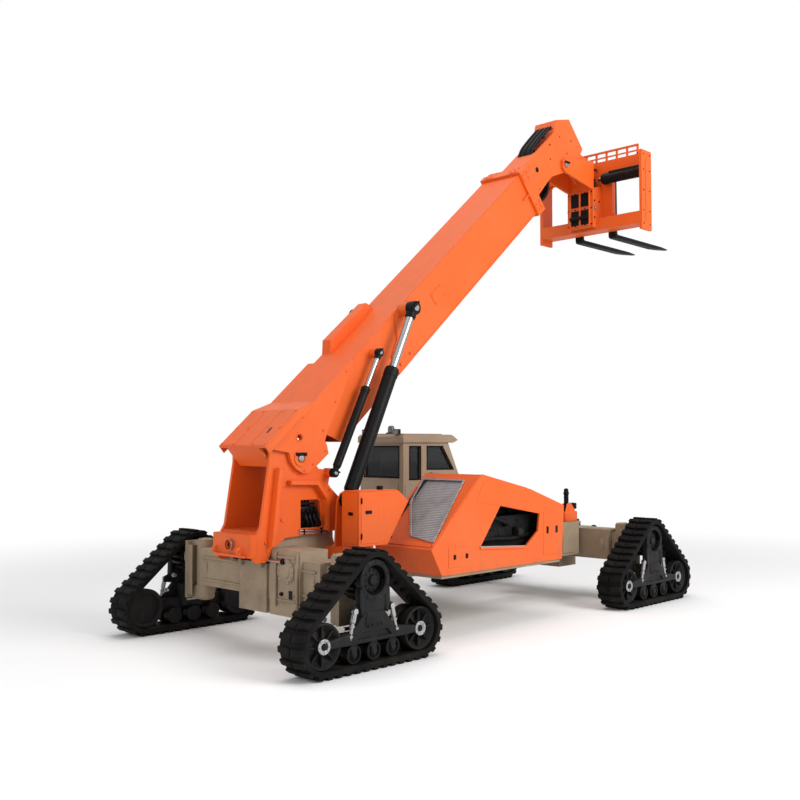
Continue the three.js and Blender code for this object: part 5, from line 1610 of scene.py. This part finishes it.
def makeHead():
    outer = head["plate"]
    trim, pins = [], []
    for side in (-1, 1):
        y = side * outer
        trim.append(plate([(a, y - side * 0.002, c)
            for a, c in ((7.3, -0.15), (7.72, -0.12), (8.08, -0.3), (8.3, -0.24), (8.3, 0.1),
            (8.05, 0.3), (7.6, 0.22), (7.3, 0.16))], (0, side * 0.0045, 0), 0.001, 1))
        ring = spun([(0.047, 0), (0.077, 0), (0.078, 0.001), (0.078, 0.0026), (0.047, 0.0026)], 36)
        trim.append(standAt(ring, (7.0, y, 0.1), (0, side, 0)))
        trim.append(boltsAt(0.013,
            [(a, y, c) for a, c in ((6.72, 0.24), (6.72, 0.0), (6.72, -0.18), (6.86, 0.24),
            (6.86, -0.18))], (0, side, 0)))
        disc = roundBar(0.016, 0, 0.0027)
        pins += [standAt(copied(disc), (a, y, c), (0, side, 0))
            for a, c in ((7.45, 0.05), (8.2, -0.02), (7.95, 0.2), (7.95, -0.12), (7.6, 0.24))]
        discard(disc)
        pins.append(standAt(roundBar(0.045, 0, 0.0027, 28), (7.0, y, 0.1), (0, side, 0)))
    finish(toBoom(joined(trim)), "head_trim", "orange_paint", "boom_inner")
    finish(toBoom(joined(pins)), "head_pins", "dark_steel", "boom_inner")
    hoses = []
    for k in range(head["hoses"]):  # bundle over the gap between the plates
        y = -0.125 + 0.05 * k
        lift = 0.012 * (k % 2)
        hoses.append(pipe([(7.14, y, 0.318), (7.24, y, 0.37 + lift), (7.42, y, 0.39 + lift),
            (7.62, y, 0.4 + lift), (7.8, y, 0.405 + lift), (7.9, y, 0.405 + lift),
            (7.955, y, 0.4)], head["hose"]))
    for k in range(head["rootPipes"]):  # under the head's root
        y = -0.14 + 0.07 * k
        hoses.append(pipe([(6.6, y, -0.285), (6.72, y, -0.35), (6.9, y, -0.4), (7.1, y, -0.38),
            (7.24, y, -0.26), (7.34, y, -0.12)], head["rootPipe"]))
    saddles = [addBox((a, -0.165, c), (a + 0.05, 0.165, c + 0.03), 0.006, 1)
        for a, c in ((7.22, 0.325), (7.6, 0.372))]
    finish(toBoom(joined(hoses + saddles)), "head_hoses", "dark_steel", "boom_inner")


def makeTiltPin():
    low, high = corners("tilt_pin")
    middle, radius, length = (low + high) / 2, (high.z - low.z) / 2, high.y - low.y
    shaft = roundBar(radius, 0, length, 40, (0.006, 0.006))
    standAt(shaft, (middle.x, low.y, middle.z), (0, 1, 0))
    finish(shaft, "tilt_pin_look", "bright_steel", "boom_inner", ["tilt_pin"])
    locks = []
    for side in (-1, 1):
        lock = keeper(0.07, 0.006, radius * 0.5, radius * 1.3, 0.003, 0.01, 0.052, radius * 0.9)
        moved(lock, Matrix.Translation((middle.x, side * (length / 2 + 0.004), middle.z))
            @ Matrix.Rotation(0 if side < 0 else pi, 4, "Z"))
        locks.append(lock)
    finish(locks, "tilt_pin_keepers", "dark_steel", "boom_inner")


# Carriage and forks, as parked.
carriageLook = {
    "back": 4.0096,  # the side plates reach from here
    "front": 4.3296,  # to here
    "rails": 4.2196,  # the rails' rear faces
    "coupler": 3.9096,  # the coupler's rear face
    "right": -1.172,
    "left": 0.94,
    "low": 6.1249,
    "high": 7.4899,
}


def makeCarriageTrim():
    back, front, rails, face = (carriageLook[k] for k in ("back", "front", "rails", "coupler"))
    right, left, low, high = (carriageLook[k] for k in ("right", "left", "low", "high"))
    orange, dark, pins = [], [], []
    for y, side in ((right, -1), (left, 1)):
        dark.append(boltsAt(0.011, [onMachine(x, y, z) for x in (back + 0.06, front - 0.06)
            for z in (low + 0.1, 6.45, 6.8, 7.15, high - 0.07)], (0, side, 0)))
        orange.append(machineBox((back + 0.12, y - 0.002, low + 0.15),
            (front - 0.12, y + side * 0.008, high - 0.15), 0.003, 1))
    # rails: bars that the forks hang on, and gussets at the window corners
    orange.append(machineBox((front, right + 0.06, high - 0.075),
        (front + 0.004, left - 0.06, high - 0.03), 0.002, 1))
    for y, way in ((right + 0.05, 1), (-0.46, -1), (0.33, 1), (left - 0.05, -1)):
        for z, rise in ((6.435, 1), (7.245, -1)):
            orange.append(plate([onMachine(rails + 0.03, y, z), onMachine(rails + 0.03,
                y + way * 0.09, z), onMachine(rails + 0.03, y, z + rise * 0.09)], (0.03, 0, 0),
                0.003, 1))
    # coupler's rear: ribs, lock cylinder, bolts and the hydraulic block between its webs
    for y in (-0.2, 0.0, 0.2):
        orange.append(machineBox((face - 0.03, y - 0.012, 6.3), (face + 0.004, y + 0.012, 6.93),
            0.005, 1))
    for y1, y2 in ((-0.185, -0.016), (0.016, 0.185)):  # painted shade: dark sheets in the recesses between the ribs
        for z1, z2 in ((6.34, 6.6), (6.66, 6.9)):
            dark.append(machineBox((face - 0.003, y1, z1), (face + 0.002, y2, z2), 0.001, 1))
    dark.append(machineBox((back + 0.03, right + 0.06, 7.13), (rails - 0.004, -0.5, 7.243), 0.012))
    dark.append(boltsAt(0.012, [onMachine(face, y, z) for y in (-0.235, -0.1, 0.1, 0.235)
        for z in (6.33, 6.62, 6.9)], (-1, 0, 0)))
    dark.append(machineBox((face + 0.05, -0.2, 6.99), (face + 0.2, 0.2, 7.17), 0.014))
    for k in range(4):
        y = -0.15 + 0.1 * k
        dark.append(machinePipe([(face + 0.1, y, 7.16), (face + 0.08, y, 7.27),
            (face + 0.14, y, 7.34), (rails - 0.01, y, 7.36)], 0.016))
    dark.append(standAt(roundBar(0.034, -0.19, 0.19, 24, (0.004, 0.005)), onMachine(face - 0.03, 0,
        6.46), (0, 1, 0)))
    for y, side in ((-0.263, -1), (0.263, 1)):
        dark.append(boltsAt(0.014, [onMachine(x, y, z) for x in (face + 0.05, face + 0.2)
            for z in (6.45, 6.75)], (0, side, 0)))
        pins.append(standAt(pinHead(0.04, 0.03), onMachine(face + 0.07, y, 6.62), (0, side, 0)))
    # fork stops on the lower rail
    for y in (0.3105, -0.3845):
        for y1 in (y - 0.1, y + 0.082):
            dark.append(machineBox((front + 0.0005, y1, 6.26), (front + 0.03, y1 + 0.018, 6.4),
                0.004, 1))
    finish(orange, "carriage_trim", "orange_paint", "carriage")
    finish(dark, "carriage_fittings_and_recess_shade", "dark_steel", "carriage")
    finish(pins, "coupler_pins", "bright_steel", "carriage")


def makeShiftCylinder():
    low, high = corners("side_shift_cylinder")
    radius = (high.z - low.z) / 2
    middle = (low + high) / 2
    reach = high.y - low.y
    body = spun([(0, 0), (radius * 0.92, 0), (radius, 0.01), (radius, 0.07),
        (radius * 0.93, 0.085), (radius * 0.93, reach - 0.19), (radius, reach - 0.175),
        (radius, reach - 0.1), (radius * 0.85, reach - 0.08), (radius * 0.55, reach - 0.075),
        (radius * 0.5, reach - 0.06), (0, reach - 0.06)], 40)
    standAt(body, (middle.x, low.y, middle.z), (0, 1, 0))
    ports = [addBox((middle.x - 0.03, y, middle.z + radius * 0.8),
        (middle.x + 0.03, y + 0.06, middle.z + radius * 1.0), 0.005, 1)
        for y in (low.y + 0.1, high.y - 0.26)]
    finish([body] + ports, "side_shift_cylinder_look", "dark_steel", "carriage",
        ["side_shift_cylinder"])
    rod = standAt(spun([(0, 0), (radius * 0.42, 0), (radius * 0.42, 0.062), (0, 0.062)], 28),
        (middle.x, high.y - 0.064, middle.z), (0, 1, 0))
    finish(rod, "side_shift_rod", "bright_steel", "carriage")


def makeForks():
    for name in ("fork_left", "fork_right"):
        low, high = corners(name)
        x, z, thick, heel = low.x, low.z, 0.06, 0.05
        middle = (low.y + high.y) / 2
        arc = [(x + heel - heel * cos(a), z + heel - heel * sin(a))
            for a in (0, 0.39, 0.79, 1.18, 1.57)]
        inner = [(x + thick + 0.03 - 0.03 * cos(a), z + thick + 0.03 - 0.03 * sin(a))
            for a in (1.57, 0.79, 0)]
        outline = ([(x, high.z)] + arc + [(high.x - 0.55, z), (high.x - 0.004, z + thick - 0.018),
            (high.x, z + thick - 0.008), (high.x - 0.01, z + thick)] + inner + [
            (x + thick * 0.82, high.z - 0.3), (x + thick * 0.82, high.z)])
        fork = plate([(px, low.y, pz) for px, pz in outline], (0, high.y - low.y, 0))
        for side in (-1, 1):  # the tip narrows in plan
            y = low.y if side < 0 else high.y
            wedge = plate([(high.x - 0.3, y, z - 0.05), (high.x + 0.05, y, z - 0.05),
                (high.x + 0.05, y - side * 0.05, z - 0.05)], (0, 0, 0.3))
            fork = carve(fork, wedge)
        bevelEdges(fork, 0.005, 2)
        hook = addBox((x + 0.001, low.y + 0.01, high.z - 0.16),
            (x + thick + 0.02, high.y - 0.01, high.z - 0.02), 0.01)
        pin = standAt(spun([(0, 0), (0.016, 0), (0.016, 0.05), (0.02, 0.055), (0.02, 0.07),
            (0, 0.072)], 20), (x + 0.04, middle, high.z - 0.02))
        finish([fork, hook, pin], name + "_look", "dark_steel", "carriage", [name])


def makeGuardTrim():
    low, high = corners("carriage_guard")
    middle = (low + high) / 2
    posts = (low.y + 0.015, middle.y, high.y - 0.015)
    bolts = [boltsAt(0.009, [(middle.x - 0.015, y, low.z + 0.035) for y in posts], (-1, 0, 0))]
    feet = [addBox((middle.x - 0.035, y - 0.03, low.z - 0.0005),
        (middle.x + 0.035, y + 0.03, low.z + 0.012), 0.003, 1) for y in posts]
    finish(bolts + feet, "guard_feet", "dark_steel", "carriage")


makeBoomTrim()
makeTailCover()
makeHead()
makeTiltPin()
makeCarriageTrim()
makeShiftCylinder()
makeForks()
makeGuardTrim()
print("boom, head and carriage are trimmed")


# Cab, its seat and controls.
cab = {
    "right": 0.68,
    "left": 1.62,
    "rear": 0.085,
    "floor": 1.08,
    "roof": 2.62,
    "seal": 0.022,  # width of the rubber round each pane
    "sealRise": 0.006,
    "middle": 1.15,
}
windows = {  # side profiles of the panes: x and z, and the face they sit in
    "rear_quarter": (((0.225, 1.925), (0.475, 1.925), (0.475, 2.432), (0.225, 2.432)),
                     cab["right"]),
    "right": (((0.622, 2.078), (1.245, 2.068), (0.985, 2.432), (0.622, 2.432)), cab["right"]),
    "door": (((0.48, 1.56), (1.146, 1.56), (1.194, 1.945), (1.018, 2.366), (0.48, 2.366)),
             cab["left"]),
}


def sealStrip(start, end, outward):  # a flat rubber bar from start to end
    start, end, out, half = Vector(start), Vector(end), Vector(outward), cab["seal"] / 2
    way = (end - start).normalized()
    side = way.cross(out).normalized() * half
    start, end = start - way * half, end + way * half
    return plate([start - side, end - side, end + side, start + side], out * cab["sealRise"],
        0.003, 1)


def sealRound(points, outward):
    return joined([sealStrip(a, b, outward) for a, b in zip(points, points[1:] + points[:1])])


def makeWindowSeals():
    rubberBars = []
    for name, (points, y) in windows.items():
        side = -1 if y < cab["middle"] else 1
        ring = sealRound([onMachine(x, y, z) for x, z in points], (0, side, 0))
        if name == "door":
            finish(ring, "door_seal", "track_rubber", "cab_door")
        else:
            rubberBars.append(ring)
    low, high = cab["right"] + 0.09, cab["left"] - 0.09
    rearPane = [onMachine(cab["rear"], y, z)
        for y, z in ((low, 1.955), (high, 1.955), (high, 2.432), (low, 2.432))]
    rubberBars.append(sealRound(rearPane, (-1, 0, 0)))
    foot, knee = onMachine(1.307, low, 1.56), onMachine(1.371, low, 1.97)
    headPoint = onMachine(1.15, low, 2.432)
    for a, b in ((foot, knee), (knee, headPoint)):
        slope = (Vector(b) - Vector(a)).normalized()
        out = Vector((slope.z, 0, -slope.x))
        for y in (low, high):
            rubberBars.append(sealStrip((a[0], y, a[2]), (b[0], y, b[2]), out))
    for place, out in ((foot, (0.987, 0, -0.154)), (headPoint, (0.9, 0, 0.43))):
        rubberBars.append(sealStrip((place[0], low, place[2]), (place[0], high, place[2]), out))
    finish(rubberBars, "window_seals", "track_rubber")


def makeCabTrim():
    right, left = cab["right"], cab["left"]
    pieces = [
        # roof's raised panel and the eaves over the sides
        machineBox((0.16, right + 0.06, cab["roof"] - 0.002), (1.04, left - 0.06,
                   cab["roof"] + 0.012), 0.006),
        machineBox((0.06, right - 0.034, 2.494), (1.2, right - 0.02, 2.52), 0.005, 1),
        machineBox((0.06, left + 0.02, 2.494), (1.2, left + 0.034, 2.52), 0.005, 1),
        # ridges over the lower panels
        machineBox((0.12, right - 0.008, 1.5), (0.6, right + 0.002, 1.84), 0.004, 1),
        machineBox((0.66, right - 0.008, 1.4), (1.2, right + 0.002, 1.98), 0.004, 1),
        machineBox((0.1, left - 0.002, 1.16), (0.39, left + 0.008, 1.84), 0.004, 1),
        machineBox((cab["rear"] - 0.008, right + 0.1, 1.3), (cab["rear"] + 0.002,
                   left - 0.1, 1.88), 0.004, 1),
    ]
    for y in (right - 0.004, left + 0.004):
        for k in range(3):
            pieces.append(machineBox((0.2 + 0.4 * k, y - 0.012, 2.53),
                (0.24 + 0.4 * k, y + 0.012, 2.6), 0.004, 1))
    finish(pieces, "cab_panels", "tan_paint")
    doorPanel = machineBox((0.46, left - 0.002, 1.16), (1.12, left + 0.008, 1.48), 0.004, 1)
    finish(doorPanel, "door_panel", "tan_paint", "cab_door")
    dark = [machineBox((0.18, 0.78, 1.02), (0.9, 1.0, 1.06), 0.004, 1)]
    # grab rail behind the door, lamps at the roof's corners
    dark.append(machinePipe([(0.3, left, 1.3), (0.3, left + 0.06, 1.32), (0.3, left + 0.065, 1.4),
        (0.3, left + 0.065, 1.95), (0.3, left + 0.06, 2.03), (0.3, left, 2.05)], 0.013))
    lampSides = (right + 0.12, left - 0.12)
    for x, foot, top in ((1.19, 2.535, 2.6), (0.075, 2.62, 2.7)):
        for y in lampSides:
            dark.append(machineBox((x - 0.03, y - 0.055, foot), (x + 0.03, y + 0.055, top), 0.012))
    finish(dark, "cab_fittings", "dark_steel")
    lenses = [machineBox((x - 0.003, y - 0.047, foot), (x + 0.003, y + 0.047, foot + 0.055), 0.002,
        1) for x, foot in ((1.223, 2.542), (0.043, 2.628)) for y in lampSides]
    finish(lenses, "cab_lamp_lenses", "screen_mesh")
    handle = joined([machineBox((1.02, left + 0.03, 1.49), (1.15, left + 0.044, 1.525), 0.006, 1),
        standAt(roundBar(0.02, 0, 0.03), onMachine(1.12, left, 1.55), (0, 1, 0))])
    finish(handle, "door_handle", "dark_steel", "cab_door")


def makeWiper():
    motor = standAt(spun([(0, 0), (0.03, 0), (0.034, 0.006), (0.034, 0.04), (0, 0.044)], 24),
        onMachine(1.312, 1.15, 1.6), (0.987, 0, -0.154))
    arm = machinePipe([(1.35, 1.15, 1.6), (1.37, 1.18, 1.66), (1.395, 1.28, 1.9)], 0.008)
    blade = machinePipe([(1.33, 1.14, 1.64), (1.37, 1.26, 1.9), (1.385, 1.3, 1.97)], 0.01)
    finish([motor, arm, blade], "wiper", "dark_steel")
    finish(machineBox((0.2, 1.05, 2.628), (0.32, 1.17, 2.65), 0.008), "beacon_foot", "dark_steel")
    dome = standAt(spun([(0, 0.11), (0.03, 0.106), (0.048, 0.09), (0.052, 0.07), (0.054, 0.0),
        (0, 0)], 32), onMachine(0.26, 1.11, 2.65))
    finish(dome, "beacon_dome", "tinted_glass")


seat = {
    "fill": 0.8,
    "slack": 0.009,  # what each pad starts smaller by, on every side
    "swell": 0.009,  # how far its filling may push a point out
    "grain": 0.007,
    "pressure": 4,
    "roll": 0.01,
}


def stuffed(pad):  # the pad's cover swells under its filling, then is held within the swell
    pick(pad)
    remesh = pad.modifiers.new("Remesh", "REMESH")
    remesh.mode = "VOXEL"
    remesh.voxel_size = seat["grain"]
    bpy.ops.object.modifier_apply(modifier=remesh.name)
    before = [vertex.co.copy() for vertex in pad.data.vertices]
    cover = pad.modifiers.new("Cover", "CLOTH")
    cover.settings.use_pressure = True
    cover.settings.uniform_pressure_force = seat["pressure"]
    cover.settings.effector_weights.gravity = 0
    for frameNumber in range(1, 21):
        bpy.context.scene.frame_set(frameNumber)
    bpy.ops.object.modifier_apply(modifier=cover.name)
    for vertex, was in zip(pad.data.vertices, before):
        move = vertex.co - was
        if move.length > seat["swell"]:
            vertex.co = was + move.normalized() * seat["swell"]
    bpy.context.scene.frame_set(1)
    return pad


def makeSeat():
    low, high = corners("seat_cushion")
    middle = cab["middle"]
    slack = Vector([seat["slack"]] * 3)
    sunk = Vector((0, 0, seat["roll"]))  # the side rolls stand this far over the middle
    cushion = stuffed(addBox(low + slack, high - slack - sunk, 0.026, 4))
    bolsters = [addBox((low.x + 0.03, y1, high.z - 0.04), (high.x - 0.03, y1 + 0.05, high.z),
        0.018, 3) for y1 in (low.y + 0.006, high.y - 0.056)]
    cushion = joined([cushion] + bolsters)
    finish(cushion, "seat_cushion_look", "black_fabric", instead=["seat_cushion"])
    foot, top, near = 1.51, 2.12, seat["roll"]
    lean = stuffed(sidePlate([(0.315, foot + 0.014), (0.397 - near, foot + 0.014),
        (0.318 - near, top - 0.019), (0.254, top - 0.019)], middle - 0.217, middle + 0.217, 0.026,
        4))
    rolls = [sidePlate([(0.36, 1.56), (0.401, 1.56), (0.337, 2.05), (0.3, 2.05)], y1, y1 + 0.06,
        0.012, 3) for y1 in (middle - 0.22, middle + 0.16)]
    lean = joined([lean] + rolls)
    finish(lean, "seat_backrest_look", "black_fabric", instead=["seat_backrest"])
    arms = []
    for y in (middle - 0.3, middle + 0.24):
        arms += [machineBox((0.42, y, 1.66), (0.76, y + 0.06, 1.72), 0.018, 3),
            machineBox((0.46, y + 0.015, 1.42), (0.52, y + 0.045, 1.67), 0.006, 1),
            machineBox((0.4, y + 0.015, 1.4), (0.7, y + 0.045, 1.43), 0.006, 1)]
    stick = standAt(spun([(0.008, 0), (0.008, 0.1), (0.02, 0.115), (0.024, 0.16), (0.018, 0.19),
        (0, 0.196)], 24), onMachine(0.72, middle - 0.27, 1.715), (0.1, 0, 1))
    finish(arms + [stick], "seat_arms", "dark_steel")


def makeControls():
    middle, floor = cab["middle"], cab["floor"]
    wheelAim = Vector((-sin(radians(58)), 0, cos(radians(58))))
    deselectAll()
    bpy.ops.mesh.primitive_torus_add(major_radius=0.19, minor_radius=0.016, major_segments=56,
        minor_segments=14)
    rim = bpy.context.object
    spokes = [addBox((-0.012, 0.03, -0.006), (0.012, 0.186, 0.006), 0.004, 1)]
    spokes += [copied(spokes[0], Matrix.Rotation(radians(120 * k), 4, "Z")) for k in (1, 2)]
    hub = spun([(0, 0.022), (0.03, 0.02), (0.045, 0.012), (0.045, -0.02), (0, -0.02)], 28)
    wheel = joined([rim, hub] + spokes)
    standAt(wheel, onMachine(0.985, middle, 1.77), wheelAim)
    column = standAt(spun([(0, 0), (0.022, 0), (0.03, 0.05), (0.03, 0.2), (0, 0.2)], 24),
        onMachine(1.09, middle, 1.577), (-0.477, 0, 0.879))
    pedestal = sidePlate([(1.04, floor + 0.0005), (1.16, floor + 0.0005), (1.16, 1.6),
        (1.07, 1.62), (1.04, 1.56)], middle - 0.06, middle + 0.06, 0.012)
    finish([wheel, column, pedestal], "steering_wheel_look", "dark_steel",
        instead=["steering_wheel"])
    pod = sidePlate([(1.1, 1.56), (1.19, 1.56), (1.2, 1.68), (1.12, 1.7)], middle - 0.2,
        middle + 0.2, 0.012)
    pedals, posts = [], []
    for y in (middle - 0.2, middle + 0.13):
        pedals.append(machineBox((1.06, y, floor + 0.06), (1.13, y + 0.07, floor + 0.075), 0.004,
            1))
        posts.append(machineBox((1.1, y + 0.025, floor - 0.0005), (1.12, y + 0.045, floor + 0.065),
            0.003, 1))
    console = machineBox((0.3, cab["right"] + 0.075, floor + 0.0005),
        (0.75, cab["right"] + 0.2, 1.55), 0.02)
    finish([pod, console] + pedals + posts, "cab_controls", "dark_steel")


makeWindowSeals()
makeCabTrim()
makeWiper()
makeSeat()
makeControls()
print("cab is done")
